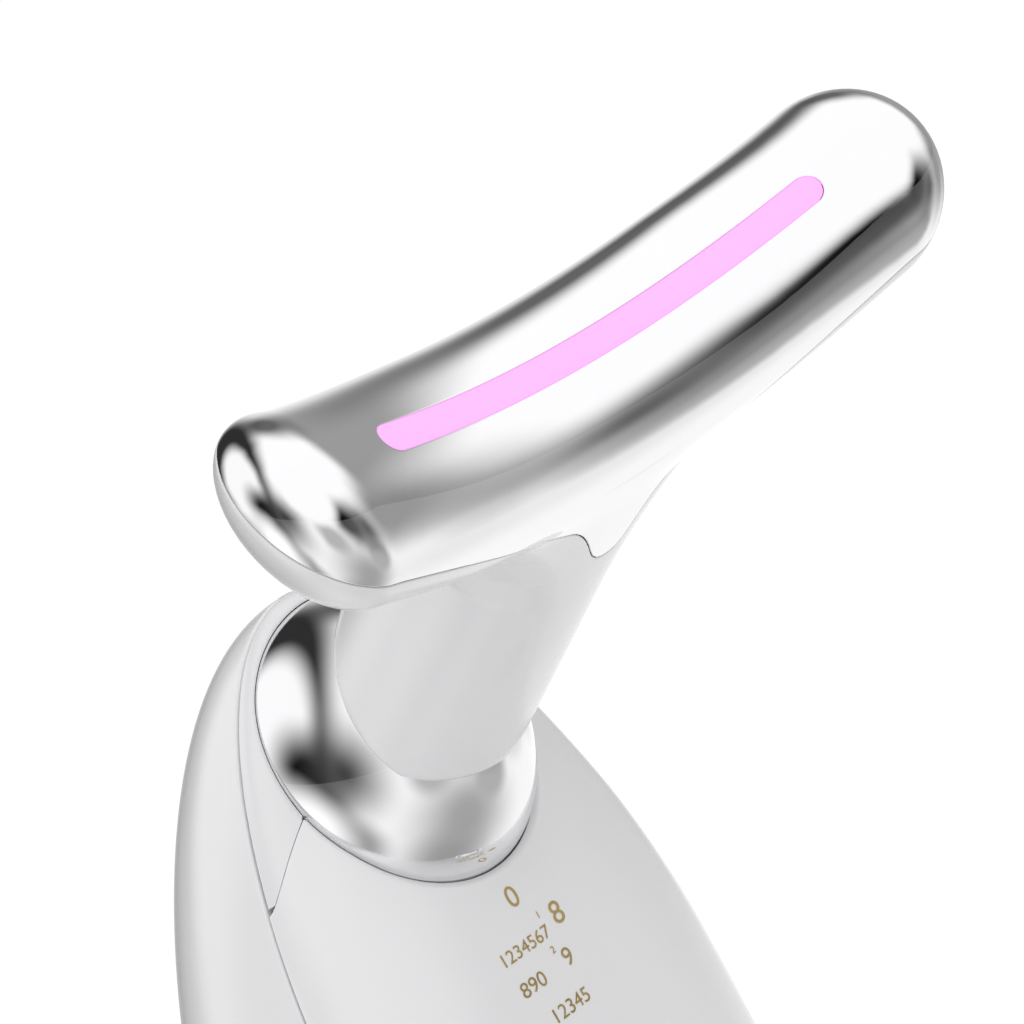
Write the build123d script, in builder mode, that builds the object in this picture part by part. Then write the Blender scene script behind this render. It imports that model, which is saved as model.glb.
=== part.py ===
from build123d import *
from functools import cache
from math import cos, pi, radians, sin, sqrt
import os

# Neck and face massager: a leaning egg-shaped handle, a bright ball in its hood, and on the ball
# a white neck that carries a slender saddle-shaped head with a glowing strip.
# Millimetres. The origin is the middle of the flat base, +Z is up, the front is -Y and X is across.

# Handle form
LEAN = 10.0                # the handle leans back from upright, degrees
HOOD_TOP = 114.3           # top of the hood, along the handle
WIDEST = 75.0              # level of the widest section, along the handle
HALF_WIDTH = 18.6          # half width of the seam there
BASE_HALF_WIDTH = 12.6     # half width of the seam at the base
FRONT_DEPTH = 6.7          # the front shells stand out this far in front of the seam
BASE_FRONT_DEPTH = 6.0
BACK_ROUND = 1.18          # half depth of the back section, per half width of the seam
BULGE_TOP = 0.22           # centre of the back section behind the seam, per half width,
BULGE_WIDEST = 0.64        # at the hood, at the widest section and at the base
BULGE_BASE = 0.28
TOP_FULLNESS = 1.8         # power of the outline above the widest section
WALL = 1.8                 # thickness of the handle's shells
BASE_FORWARD = 5.3         # the seam meets the floor this far in front of the base's middle
COVER_PROUD = 0.9          # the front cover stands proud of the hood
PART_LINE = 0.15           # gap between the hood and the front cover
COVER_SIDE = 1.03          # the part line's width at its low end, per half width of the seam
COVER_SIDE_DROP = 13.6     # and its depth there below the middle of the ball
COVER_BEND = 0.72
COVER_BEND_DROP = 2.9
COVER_LIP = 0.88           # the part line's width at the ball, per half width of the ball
COVER_LIP_RISE = 0.2

# Base cap and its pad
CAP_THICK = 2.2
CAP_ROUND = 1.0
CAP_PLUG = 2.0             # height of the cap's rim inside the shells
CAP_PLUG_WALL = 1.2
PAD_PROUD = 0.2
PAD_THICK = 0.9
PAD_HALF_WIDTH = 10.0
PAD_HALF_DEPTH = 9.2

# Ball joint
BALL_UP = 100.1            # centre of the ball along the handle
BALL_FORWARD = 0.9         # and in front of the seam
BALL_RADIUS = 13.0
BALL_HALF_WIDTH = 10.9     # the ball is narrower along its pivot axis
BALL_WALL = 1.3
BALL_GAP = 0.25            # clearance between the ball and the hood
BALL_FLAT = 10.55          # the ball's sides are flat here
HUB_RADIUS = 2.6
PIN_RADIUS = 1.2
PIN_FIT = 0.05             # radial clearance of a pivot pin
PIN_START = 7.4
PIN_END = 12.0
PIN_BOSS_RADIUS = 4.2
WASHER_RADIUS = 2.8
WASHER_THICK = 0.5
WASHER_GAP = 0.05
PORT_RADIUS = 3.6          # the ball's wire port, below and behind
PORT_ANGLE = 25.0

# Neck and head
HEAD_UP = 121.0            # middle of the light strip, along the handle
HEAD_FORWARD = 47.5        # and in front of the seam
HEAD_TILT = 64.8           # from the handle's axis to the contact face's normal, degrees
HEAD_HALF_LENGTH = 32.8
HEAD_HALF_DEPTH = 7.5
HEAD_HALF_THICK = 6.0
SADDLE_RADIUS = 60.0       # hollow of the contact face along its length
END_ROUND = 6.0            # length of the rounded ends
HEAD_WALL = 1.3            # thickness of the chromed plate
LIP_THICK = 0.7            # the white shell is thicker by its lip inside the plate
LIP_RISE = 1.1
SEAM_DROP = 11.8           # the chrome reaches this far below the face in the middle
SEAM_RADIUS = 42.0
SEAM_GAP = 0.1
TONGUE_HALF = 3.6          # the chrome's middle tongue over the neck
TONGUE_DROP = 4.4
TONGUE_ROUND = 1.6
NECK_RADIUS = 8.0
NECK_FOOT_RADIUS = 8.45
NECK_TOP = 20.0            # below the middle of the contact face
FOOT_FORWARD = 11.8        # foot of the neck in front of the seam
FOOT_FLOOR = 2.0
SPIGOT_RADIUS = 4.6        # the ball's spigot in the neck
SPIGOT_WALL = 1.3
SPIGOT_TOP = 33.4          # below the middle of the contact face
SPIGOT_ROOT = 42.0
SEAT = 0.05                # clearance of a piece that sits in or on another

# Strip light
STRIP_HALF_LENGTH = 22.0
STRIP_HALF_WIDTH = 1.1
FLANGE_EXTRA = 1.3
FLANGE_THICK = 0.9
BOARD_BELOW = 4.8          # top of the light board below the middle of the face
BOARD_THICK = 0.8
BOARD_HALF_LENGTH = 18.5
BOARD_HALF_WIDTH = 4.3
LED_COUNT = 7
LED_PITCH = 5.0
LED_LENGTH = 2.4
LED_WIDTH = 1.6
LED_THICK = 0.8
POST_AT = 12.5
POST_SIDE = 2.6
POST_RADIUS = 1.7
HEAD_SCREW_RADIUS = 0.7
HEAD_SCREW_HEAD = 1.3
HEAD_SCREW_HEAD_THICK = 0.7
HEAD_SCREW_LENGTH = 3.8
PROBE_AT = 7.5
PROBE_SIDE = 3.45
PROBE_RADIUS = 0.7

# Vibration motor, in the neck
MOTOR_RADIUS = 3.5
MOTOR_LENGTH = 10.5
MOTOR_BELOW = 22.0         # top of the motor below the middle of the face
BOOT_LENGTH = 8.0
BOOT_BELOW = 23.5
SHAFT_RADIUS = 0.5
SHAFT_ABOVE = 5.0
SHAFT_INSIDE = 2.5
SHAFT_FIT = 0.04
WEIGHT_RADIUS = 3.0
WEIGHT_HUB = 1.2
WEIGHT_LENGTH = 3.6
WEIGHT_LIFT = 0.6

# Inside the handle
CHASSIS_BACK = 2.6         # front face of the chassis behind the seam
CHASSIS_THICK = 1.6
CHASSIS_LOW = 14.5
CHASSIS_HIGH = 85.0
CHASSIS_CLEAR = 0.2
MAIN_BOARD_THICK = 1.0
MAIN_BOARD_HALF = 9.5
MAIN_BOARD_LOW = 40.0
MAIN_BOARD_HIGH = 84.0
BATTERY_HALF = 8.5
BATTERY_HEIGHT = 42.0
BATTERY_THICK = 8.0
BATTERY_LOW = 30.0
BATTERY_ROUND = 1.5
TRAY_WALL = 1.0
TRAY_CLEAR = 0.2
TRAY_DEPTH = 6.0
FOAM_THICK = 1.0
FOAM_MARGIN = 0.6
SCREW_RADIUS = 0.95
SCREW_HEAD_RADIUS = 1.75
SCREW_HEAD_THICK = 1.2
SCREW_LENGTH = 7.0
SCREW_SPARE = 0.5          # a screw hole is this much deeper than its screw
BOSS_RADIUS = 2.4
LOW_BOSS = (8.0, 20.0)     # across, and along the handle
HIGH_BOSS = (13.0, 77.5)

# Button, its switch and the mode lights
BUTTON_UP = 60.0
BUTTON_RADIUS = 6.0
BUTTON_GAP = 0.2
BUTTON_TRAVEL = 0.5
BUTTON_PROUD = 0.5
BUTTON_EDGE = 0.6
BUTTON_FLANGE = 0.9
BUTTON_FLANGE_THICK = 0.8
BUTTON_DISH = 0.3          # the finger dish in its face
BUTTON_DISH_RADIUS = 26.0
STEM_RADIUS = 2.0
STEM_GAP = 0.1             # left between the stem and the plunger at full travel
SWITCH_SIDE = 4.5
SWITCH_THICK = 1.8
PLUNGER_RADIUS = 1.5
PLUNGER_PROUD = 0.6
GUIDE_LEVELS = (82.6, 79.2, 75.8)
GUIDE_RADIUS = 1.2
GUIDE_BAR = 1.0            # half width of the bar that joins the guides
GUIDE_BAR_THICK = 0.8
LAMP_SIDE = 1.6
LAMP_THICK = 0.6
LAMP_GAP = 0.1

# Charging socket
SOCKET_UP = 13.0
SOCKET_WIDTH = 8.9
SOCKET_HEIGHT = 3.2
SOCKET_DEPTH = 7.3
SOCKET_WALL = 0.35
SOCKET_BLOCK = 1.6
SOCKET_SINK = 1.3          # its mouth below the back shell's surface
SOCKET_CLEAR = 0.15
BLADE_WIDTH = 6.7
BLADE_THICK = 0.7
BLADE_SHORT = 0.8          # the blade ends this far inside the mouth
CHARGE_BOARD_THICK = 0.8
CHARGE_BOARD_HALF = 6.0
CHARGE_BOARD_FRONT = 7.0
SHELF_THICK = 1.6

TILT = radians(LEAN)
HANDLE = Plane(
    origin=(0, -BASE_FORWARD, 0), x_dir=(1, 0, 0), z_dir=(0, sin(TILT), cos(TILT))
)
FRONT = Plane(origin=HANDLE.origin, x_dir=(1, 0, 0), z_dir=HANDLE.y_dir * -1)
FACE_ANGLE = radians(HEAD_TILT)
HEAD = Plane(
    origin=HANDLE.from_local_coords((0, -HEAD_FORWARD, HEAD_UP)),
    x_dir=(1, 0, 0),
    z_dir=HANDLE.z_dir * cos(FACE_ANGLE) + FRONT.z_dir * sin(FACE_ANGLE),
)
HEAD_SIDE = Plane(origin=HEAD.origin, x_dir=(1, 0, 0), z_dir=HEAD.y_dir * -1)
BALL_CENTRE = HANDLE.from_local_coords((0, -BALL_FORWARD, BALL_UP))
PIVOT = Axis(BALL_CENTRE, (1, 0, 0))
forward = Axis(FRONT.origin, FRONT.z_dir)
CAP_TOP = Plane.XY.offset(CAP_THICK)


def half_width(up, inset=0.0):
    """Half width of the seam at a level along the handle."""
    wide = HALF_WIDTH - inset
    if up >= WIDEST:
        share = min((up - WIDEST) / (HOOD_TOP - inset - WIDEST), 1.0)
        return wide * sqrt(1 - share**TOP_FULLNESS)
    share = (WIDEST - up) / WIDEST
    base = BASE_HALF_WIDTH - inset
    return base + (wide - base) * (cos(pi * min(share, 1.0)) + 1) / 2


def front_depth(up, inset=0.0, proud=0.0):
    """How far the front stands out from the seam at a level along the handle."""
    deep = FRONT_DEPTH + proud - inset
    if up >= WIDEST:
        share = min((up - WIDEST) / (HOOD_TOP - inset - WIDEST), 1.0)
        return deep * sqrt(1 - share**2)
    share = (WIDEST - up) / WIDEST
    base = BASE_FRONT_DEPTH + proud - inset
    return base + (deep - base) * (cos(pi * min(share, 1.0)) + 1) / 2


def back_bulge(up):
    """Centre of the back section behind the seam, per half width of the seam."""
    if up >= WIDEST:
        share = min((up - WIDEST) / (HOOD_TOP - WIDEST), 1.0)
        return BULGE_WIDEST + (BULGE_TOP - BULGE_WIDEST) * share
    share = min((WIDEST - up) / WIDEST, 1.0)
    return BULGE_BASE + (BULGE_WIDEST - BULGE_BASE) * (cos(pi * share) + 1) / 2


def levels(inset=0.0):
    """Levels of the handle's sections, closer together towards the hood."""
    low = [WIDEST * share for share in (-0.07, 0.12, 0.3, 0.5, 0.7, 0.86)]
    rise = HOOD_TOP - inset - WIDEST
    high = [WIDEST + rise * sin(radians(a)) for a in (0, 14, 28, 42, 55, 67, 77, 85, 88.6)]
    return low + high


@cache
def front_form(inset=0.0, proud=0.0):
    """The handle in front of its seam, as a solid."""
    with BuildPart() as form:
        for up in levels(inset):
            with BuildSketch(HANDLE.offset(up)):
                Ellipse(half_width(up, inset), front_depth(up, inset, proud))
        loft()
        split(bisect_by=FRONT, keep=Keep.TOP)
    return form.part


@cache
def back_form(inset=0.0):
    """The handle behind its seam, as a solid."""
    with BuildPart() as form:
        for up in levels(inset):
            half = half_width(up, inset)
            back = back_bulge(up) * half
            round_half = BACK_ROUND * half
            with BuildSketch(HANDLE.offset(up)):
                with Locations((0, back)):
                    Ellipse(half / sqrt(1 - (back / round_half) ** 2), round_half)
        loft()
        split(bisect_by=FRONT, keep=Keep.BOTTOM)
    return form.part


def cover_field(gap=0.0):
    """The front cover's field, seen from the front: its top hugs the lower half of the ball."""
    low = (HALF_WIDTH * COVER_SIDE, BALL_UP - COVER_SIDE_DROP + gap)
    bend = (HALF_WIDTH * COVER_BEND, BALL_UP - COVER_BEND_DROP + gap)
    lip = (BALL_HALF_WIDTH * COVER_LIP, BALL_UP + COVER_LIP_RISE + gap)
    foot = -WIDEST / 4
    with BuildPart() as form:
        with BuildSketch(FRONT):
            with BuildLine():
                ThreePointArc(low, bend, lip)
                Polyline(lip, (0, lip[1]), (0, foot), (low[0], foot), low)
            make_face()
            mirror(about=Plane.YZ)
        extrude(amount=3 * FRONT_DEPTH)
    return form.part


@cache
def ball_form(grow=0.0):
    """The ball, round about its pivot axis and narrower along it."""
    with BuildPart() as form:
        with BuildSketch(FRONT.offset(BALL_FORWARD)):
            with Locations((0, BALL_UP)):
                Ellipse(BALL_HALF_WIDTH + grow, BALL_RADIUS + grow)
            with Locations((0, BALL_UP - BALL_RADIUS)):
                Rectangle(4 * BALL_RADIUS, 2 * BALL_RADIUS, mode=Mode.SUBTRACT)
        revolve(axis=PIVOT)
    return form.part


def face_height(x):
    """Height of the contact face along the head, above its middle."""
    return x * x / (2 * SADDLE_RADIUS)


@cache
def bar_form(inset=0.0):
    """The head's bar: oval sections along the saddle, rounded in at its ends."""
    straight = HEAD_HALF_LENGTH - END_ROUND
    reach = END_ROUND - inset
    half_stations = [(straight * share, 1.0) for share in (0.25, 0.5, 0.75, 0.9)]
    half_stations += [
        (straight + reach * sin(radians(a)), cos(radians(a))) for a in (0, 22, 42, 58, 70, 79, 86)
    ]
    stations = [(-x, size) for x, size in reversed(half_stations)] + [(0.0, 1.0)] + half_stations
    with BuildPart() as form:
        for x, size in stations:
            middle = HEAD.from_local_coords((x, 0, face_height(x) - HEAD_HALF_THICK))
            across = Plane(origin=middle, x_dir=HEAD.y_dir, z_dir=HEAD.x_dir)
            with BuildSketch(across):
                Ellipse((HEAD_HALF_DEPTH - inset) * size, (HEAD_HALF_THICK - inset) * size)
        loft()
    return form.part


@cache
def flare_form(inset=0.0):
    """The head's root, which narrows from the bar down to the round neck."""
    reaches = ((6.5, 21.0, 7.3), (9.5, 17.0, 7.6), (13.0, 12.0, 7.8), (16.5, 9.0, 7.95))
    with BuildPart() as form:
        for drop, half_long, half_deep in reaches:
            with BuildSketch(HEAD.offset(-drop)):
                Ellipse(half_long - inset, half_deep - inset)
        with BuildSketch(HEAD.offset(-NECK_TOP)):
            Circle(NECK_RADIUS - inset)
        loft()
    return form.part


@cache
def head_form(inset=0.0):
    """The bar and its root."""
    bar = bar_form(inset)
    flare = flare_form(inset)
    with BuildPart() as form:
        add(bar)
        add(flare)
    return form.part


def neck_length(inset, top, bottom):
    """A length of the neck's slight cone, between two depths below the contact face."""
    slope = (NECK_FOOT_RADIUS - NECK_RADIUS) / (HEAD_FORWARD / sin(FACE_ANGLE) - NECK_TOP)
    with BuildPart() as form:
        for drop in (top, bottom):
            with BuildSketch(HEAD.offset(-drop)):
                Circle(NECK_RADIUS + slope * (drop - NECK_TOP) - inset)
        loft()
    return form.part


def neck_form(inset=0.0, rise=0.0):
    """The neck down to its slanted foot, or to a floor that lies higher by a rise."""
    whole = neck_length(inset, NECK_TOP, HEAD_FORWARD / sin(FACE_ANGLE))
    with BuildPart() as form:
        add(whole)
        split(bisect_by=FRONT.offset(FOOT_FORWARD + rise), keep=Keep.TOP)
    return form.part


def chrome_field(gap=0.0):
    """The chromed plate's field, seen from the front: above an arc, with a middle tongue."""
    with BuildPart() as form:
        with BuildSketch(HEAD_SIDE):
            with Locations((0, SEAM_RADIUS - SEAM_DROP)):
                Circle(SEAM_RADIUS + gap)
            with Locations((0, -SEAM_DROP)):
                RectangleRounded(
                    2 * (TONGUE_HALF + gap), 2 * (TONGUE_DROP + gap), TONGUE_ROUND + gap
                )
        extrude(amount=2 * HEAD_HALF_DEPTH, both=True)
    return form.part


def strip_field(grow=0.0):
    """The glowing strip's outline, through the top of the head."""
    with BuildPart() as form:
        with BuildSketch(HEAD.offset(-HEAD_WALL - 2 * FLANGE_THICK)):
            SlotOverall(2 * (STRIP_HALF_LENGTH + grow), 2 * (STRIP_HALF_WIDTH + grow))
        extrude(amount=2 * HEAD_HALF_THICK)
    return form.part


def common(first, second):
    """The volume that two forms share."""
    with BuildPart() as form:
        add(first)
        add(second, mode=Mode.INTERSECT)
    return form.part


def beside_ball(radius, start, end):
    """A pair of cylinders about the pivot axis, one each side of the ball."""
    with BuildPart() as form:
        for side in (-1, 1):
            with BuildSketch(Plane(origin=BALL_CENTRE, z_dir=(side, 0, 0)).offset(start)):
                Circle(radius)
            extrude(amount=end - start)
    return form.part


def columns(plane, places, radius, near, far):
    """Cylinders at places of a plane, between two distances in front of it."""
    with BuildPart() as form:
        with BuildSketch(plane.offset(near)):
            with Locations(*places):
                Circle(radius)
        extrude(amount=far - near)
    return form.part


def block(low, high, half, near, far):
    """A block of the handle, between two levels and between two distances from the seam."""
    with BuildPart() as form:
        with BuildSketch(FRONT.offset(near)):
            with Locations((0, (low + high) / 2)):
                Rectangle(2 * half, high - low)
        extrude(amount=far - near)
    return form.part


def layer(form, low, high):
    """The part of a form between two heights above the floor."""
    with BuildPart() as cut:
        add(form)
        split(bisect_by=Plane.XY.offset(low), keep=Keep.TOP)
        split(bisect_by=Plane.XY.offset(high), keep=Keep.BOTTOM)
    return cut.part


def handle_layer(inset, low, high):
    """The handle, with the cover's proud front, between two heights above the floor."""
    front = layer(front_form(inset=inset, proud=COVER_PROUD), low, high)
    back = layer(back_form(inset=inset), low, high)
    with BuildPart() as form:
        add(front)
        add(back)
    return form.part


# Forms and fits that several pieces share
front_outer = front_form()
cover_outer = front_form(proud=COVER_PROUD)
back_outer = back_form()
front_room = front_form(inset=WALL)
cover_inner = front_form(inset=WALL, proud=COVER_PROUD)
cover_seated = front_form(inset=WALL + SEAT, proud=COVER_PROUD)
back_inner = back_form(inset=WALL)
back_seated = back_form(inset=WALL + SEAT)
ball_outer = ball_form()
ball_room = ball_form(grow=BALL_GAP)
washer_end = BALL_FLAT + WASHER_THICK + 2 * WASHER_GAP
washer_room = beside_ball(WASHER_RADIUS + SEAT, BALL_FLAT, washer_end)
pin_room = beside_ball(PIN_RADIUS + PIN_FIT, BALL_FLAT, PIN_END + PIN_FIT)
pin_bosses = beside_ball(PIN_BOSS_RADIUS, BALL_FLAT, HALF_WIDTH)
boss_places = [(side * x, up) for x, up in (LOW_BOSS, HIGH_BOSS) for side in (-1, 1)]
chassis_end = -CHASSIS_BACK - CHASSIS_THICK
board_face = MAIN_BOARD_THICK - CHASSIS_BACK
plunger_end = board_face + SWITCH_THICK + PLUNGER_PROUD
socket_mouth = SOCKET_SINK - half_width(SOCKET_UP) * (back_bulge(SOCKET_UP) + BACK_ROUND)
socket_floor = SOCKET_UP - SOCKET_HEIGHT / 2
shell_wall = HEAD_WALL + LIP_THICK

# Hood, the front rim that wraps over the ball
hood_bosses = common(pin_bosses, front_outer)
hood_limit = cover_field(gap=PART_LINE)
with BuildPart() as hood:
    add(front_outer)
    add(front_room, mode=Mode.SUBTRACT)
    add(hood_bosses)
    add(ball_room, mode=Mode.SUBTRACT)
    add(washer_room, mode=Mode.SUBTRACT)
    add(pin_room, mode=Mode.SUBTRACT)
    add(hood_limit, mode=Mode.SUBTRACT)

# Front cover, with the button's hole
cover_shape = common(cover_outer, cover_field())
with BuildPart() as front_cover:
    add(cover_shape)
    add(cover_inner, mode=Mode.SUBTRACT)
    add(ball_room, mode=Mode.SUBTRACT)
    add(washer_room, mode=Mode.SUBTRACT)
    add(pin_room, mode=Mode.SUBTRACT)
    with BuildSketch(FRONT):
        with Locations((0, BUTTON_UP)):
            Circle(BUTTON_RADIUS + BUTTON_GAP)
    extrude(amount=3 * FRONT_DEPTH, mode=Mode.SUBTRACT)
    split(bisect_by=CAP_TOP, keep=Keep.TOP)

# Back shell, with screw bosses, pivot seats, the socket's shelf and its hole
back_middle = back_form(inset=WALL / 2)
back_pin_bosses = common(pin_bosses, back_outer)
screw_bosses = common(
    columns(FRONT, boss_places, BOSS_RADIUS, -3 * HALF_WIDTH, chassis_end), back_middle
)
shelf_top = socket_floor - CHARGE_BOARD_THICK
shelf = common(
    block(shelf_top - SHELF_THICK, shelf_top, CHARGE_BOARD_HALF, -3 * HALF_WIDTH,
          -CHARGE_BOARD_FRONT),
    back_middle,
)
with BuildPart() as back_shell:
    add(back_outer)
    add(back_inner, mode=Mode.SUBTRACT)
    add(back_pin_bosses)
    add(screw_bosses)
    add(shelf)
    add(ball_room, mode=Mode.SUBTRACT)
    add(washer_room, mode=Mode.SUBTRACT)
    add(pin_room, mode=Mode.SUBTRACT)
    with BuildSketch(FRONT.offset(chassis_end - SCREW_LENGTH + CHASSIS_THICK - SCREW_SPARE)):
        with Locations(*boss_places):
            Circle(SCREW_RADIUS + SEAT)
    extrude(amount=SCREW_LENGTH, mode=Mode.SUBTRACT)
    with BuildSketch(FRONT.offset(socket_mouth + SOCKET_DEPTH / 2)):
        with Locations((0, SOCKET_UP)):
            SlotOverall(SOCKET_WIDTH + 2 * SOCKET_CLEAR, SOCKET_HEIGHT + 2 * SOCKET_CLEAR)
    extrude(amount=-SOCKET_DEPTH, mode=Mode.SUBTRACT)
    split(bisect_by=CAP_TOP, keep=Keep.TOP)

# Base cap, with a rim that plugs into the shells and a recess for the pad
cap_plate = handle_layer(0.0, PAD_PROUD, CAP_THICK)
plug_outer = handle_layer(WALL + SEAT, CAP_THICK, CAP_THICK + CAP_PLUG)
plug_inner = handle_layer(WALL + SEAT + CAP_PLUG_WALL, CAP_THICK, CAP_THICK + CAP_PLUG)
with BuildPart() as cap_rim:
    add(plug_outer)
    add(plug_inner, mode=Mode.SUBTRACT)

with BuildPart() as base_cap:
    add(cap_plate)
    fillet(base_cap.faces().sort_by(Axis.Z)[0].edges(), radius=CAP_ROUND)
    add(cap_rim.part)
    with BuildSketch(Plane.XY.offset(PAD_PROUD)):
        Ellipse(PAD_HALF_WIDTH + SEAT, PAD_HALF_DEPTH + SEAT)
    extrude(amount=PAD_THICK - PAD_PROUD, mode=Mode.SUBTRACT)

# Rubber pad under the base
with BuildPart() as base_pad:
    with BuildSketch(Plane.XY):
        Ellipse(PAD_HALF_WIDTH, PAD_HALF_DEPTH)
    extrude(amount=PAD_THICK)

# Chassis, the screws that hold it and the main board on its front
chassis_shape = common(
    block(CHASSIS_LOW, CHASSIS_HIGH, 2 * HALF_WIDTH, chassis_end, -CHASSIS_BACK),
    back_form(inset=WALL + CHASSIS_CLEAR),
)
with BuildPart() as chassis:
    add(chassis_shape)
    with BuildSketch(FRONT.offset(-CHASSIS_BACK)):
        with Locations(*boss_places):
            Circle(SCREW_RADIUS + SEAT)
    extrude(amount=-CHASSIS_THICK, mode=Mode.SUBTRACT)

with BuildPart() as chassis_screws:
    with BuildSketch(FRONT.offset(-CHASSIS_BACK)):
        with Locations(*boss_places):
            Circle(SCREW_HEAD_RADIUS)
    extrude(amount=SCREW_HEAD_THICK)
    chamfer(chassis_screws.faces().filter_by(FRONT).sort_by(forward)[-4:].edges(),
            length=SCREW_HEAD_THICK / 3)
    with BuildSketch(FRONT.offset(-CHASSIS_BACK)):
        with Locations(*boss_places):
            Circle(SCREW_RADIUS)
    extrude(amount=-SCREW_LENGTH)

with BuildPart() as main_board:
    with BuildSketch(FRONT.offset(-CHASSIS_BACK)):
        with Locations((0, (MAIN_BOARD_LOW + MAIN_BOARD_HIGH) / 2)):
            Rectangle(2 * MAIN_BOARD_HALF, MAIN_BOARD_HIGH - MAIN_BOARD_LOW)
    extrude(amount=MAIN_BOARD_THICK)

# Battery on its foam in the tray behind the chassis
battery_high = BATTERY_LOW + BATTERY_HEIGHT
tray_floor = chassis_end - TRAY_WALL
battery_front = tray_floor - FOAM_THICK
tray_reach = TRAY_WALL + TRAY_CLEAR
tray_low = tray_floor - TRAY_DEPTH
tray_block = block(BATTERY_LOW - tray_reach, battery_high + tray_reach, BATTERY_HALF + tray_reach,
                   tray_low, chassis_end)
tray_room = block(BATTERY_LOW - TRAY_CLEAR, battery_high + TRAY_CLEAR, BATTERY_HALF + TRAY_CLEAR,
                  tray_low, tray_floor)
with BuildPart() as battery_tray:
    add(tray_block)
    add(tray_room, mode=Mode.SUBTRACT)

foam_block = block(BATTERY_LOW + FOAM_MARGIN, battery_high - FOAM_MARGIN,
                   BATTERY_HALF - FOAM_MARGIN, battery_front, tray_floor)
with BuildPart() as battery_foam:
    add(foam_block)

cell = block(BATTERY_LOW, battery_high, BATTERY_HALF, battery_front - BATTERY_THICK, battery_front)
with BuildPart() as battery:
    add(cell)
    fillet(battery.edges().filter_by(Axis(HANDLE.origin, HANDLE.z_dir)), radius=BATTERY_ROUND)

# Button switch, mode lamps and their light guides
with BuildPart() as button_switch:
    with BuildSketch(FRONT.offset(board_face)):
        with Locations((0, BUTTON_UP)):
            Rectangle(SWITCH_SIDE, SWITCH_SIDE)
    extrude(amount=SWITCH_THICK)
    with BuildSketch(FRONT.offset(board_face + SWITCH_THICK)):
        with Locations((0, BUTTON_UP)):
            Circle(PLUNGER_RADIUS)
    extrude(amount=PLUNGER_PROUD)

with BuildPart() as mode_lamps:
    with BuildSketch(FRONT.offset(board_face)):
        with Locations(*[(0, up) for up in GUIDE_LEVELS]):
            Rectangle(LAMP_SIDE, LAMP_SIDE)
    extrude(amount=LAMP_THICK)

guide_start = board_face + LAMP_THICK + LAMP_GAP
guide_places = [(0, up) for up in GUIDE_LEVELS]
guide_roots = columns(FRONT, guide_places, GUIDE_RADIUS, guide_start, GUIDE_BAR_THICK)
guide_rods = common(
    columns(FRONT, guide_places, GUIDE_RADIUS, guide_start, 2 * FRONT_DEPTH), cover_seated
)
guide_bar = block(GUIDE_LEVELS[-1], GUIDE_LEVELS[0], GUIDE_BAR, 0, GUIDE_BAR_THICK)
with BuildPart() as light_guides:
    add(guide_roots)
    add(guide_rods)
    add(guide_bar)

# Power button
flange_radius = BUTTON_RADIUS + BUTTON_FLANGE
inner_half = half_width(BUTTON_UP, WALL)
inner_depth = front_depth(BUTTON_UP, WALL, COVER_PROUD)
flange_face = inner_depth * sqrt(1 - (flange_radius / inner_half) ** 2) - SEAT
button_face = front_depth(BUTTON_UP, proud=COVER_PROUD) + BUTTON_PROUD
stem_end = plunger_end + BUTTON_TRAVEL + STEM_GAP
button_place = [(0, BUTTON_UP)]
button_body = columns(FRONT, button_place, BUTTON_RADIUS, flange_face, button_face)
button_flange = columns(FRONT, button_place, flange_radius, flange_face - BUTTON_FLANGE_THICK,
                        flange_face)
button_stem = columns(FRONT, button_place, STEM_RADIUS, stem_end, flange_face)
dish_centre = FRONT.from_local_coords(
    (0, BUTTON_UP, button_face + BUTTON_DISH_RADIUS - BUTTON_DISH)
)
with BuildPart() as power_button:
    add(button_body)
    fillet(power_button.faces().sort_by(forward)[-1].edges(), BUTTON_EDGE)
    add(button_flange)
    add(button_stem)
    with Locations(dish_centre):
        Sphere(BUTTON_DISH_RADIUS, mode=Mode.SUBTRACT)

# Charging socket and its board
with BuildPart() as charging_socket:
    with BuildSketch(FRONT.offset(socket_mouth)):
        with Locations((0, SOCKET_UP)):
            SlotOverall(SOCKET_WIDTH, SOCKET_HEIGHT)
    extrude(amount=SOCKET_DEPTH)
    with BuildSketch(FRONT.offset(socket_mouth)):
        with Locations((0, SOCKET_UP)):
            SlotOverall(SOCKET_WIDTH - 2 * SOCKET_WALL, SOCKET_HEIGHT - 2 * SOCKET_WALL)
    extrude(amount=SOCKET_DEPTH - SOCKET_BLOCK, mode=Mode.SUBTRACT)
    with BuildSketch(FRONT.offset(socket_mouth + BLADE_SHORT)):
        with Locations((0, SOCKET_UP)):
            Rectangle(BLADE_WIDTH, BLADE_THICK)
    extrude(amount=SOCKET_DEPTH - BLADE_SHORT)

charging_board_shape = common(
    block(shelf_top, socket_floor, CHARGE_BOARD_HALF, -3 * HALF_WIDTH, -CHARGE_BOARD_FRONT),
    back_seated,
)
with BuildPart() as charging_board:
    add(charging_board_shape)

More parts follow.
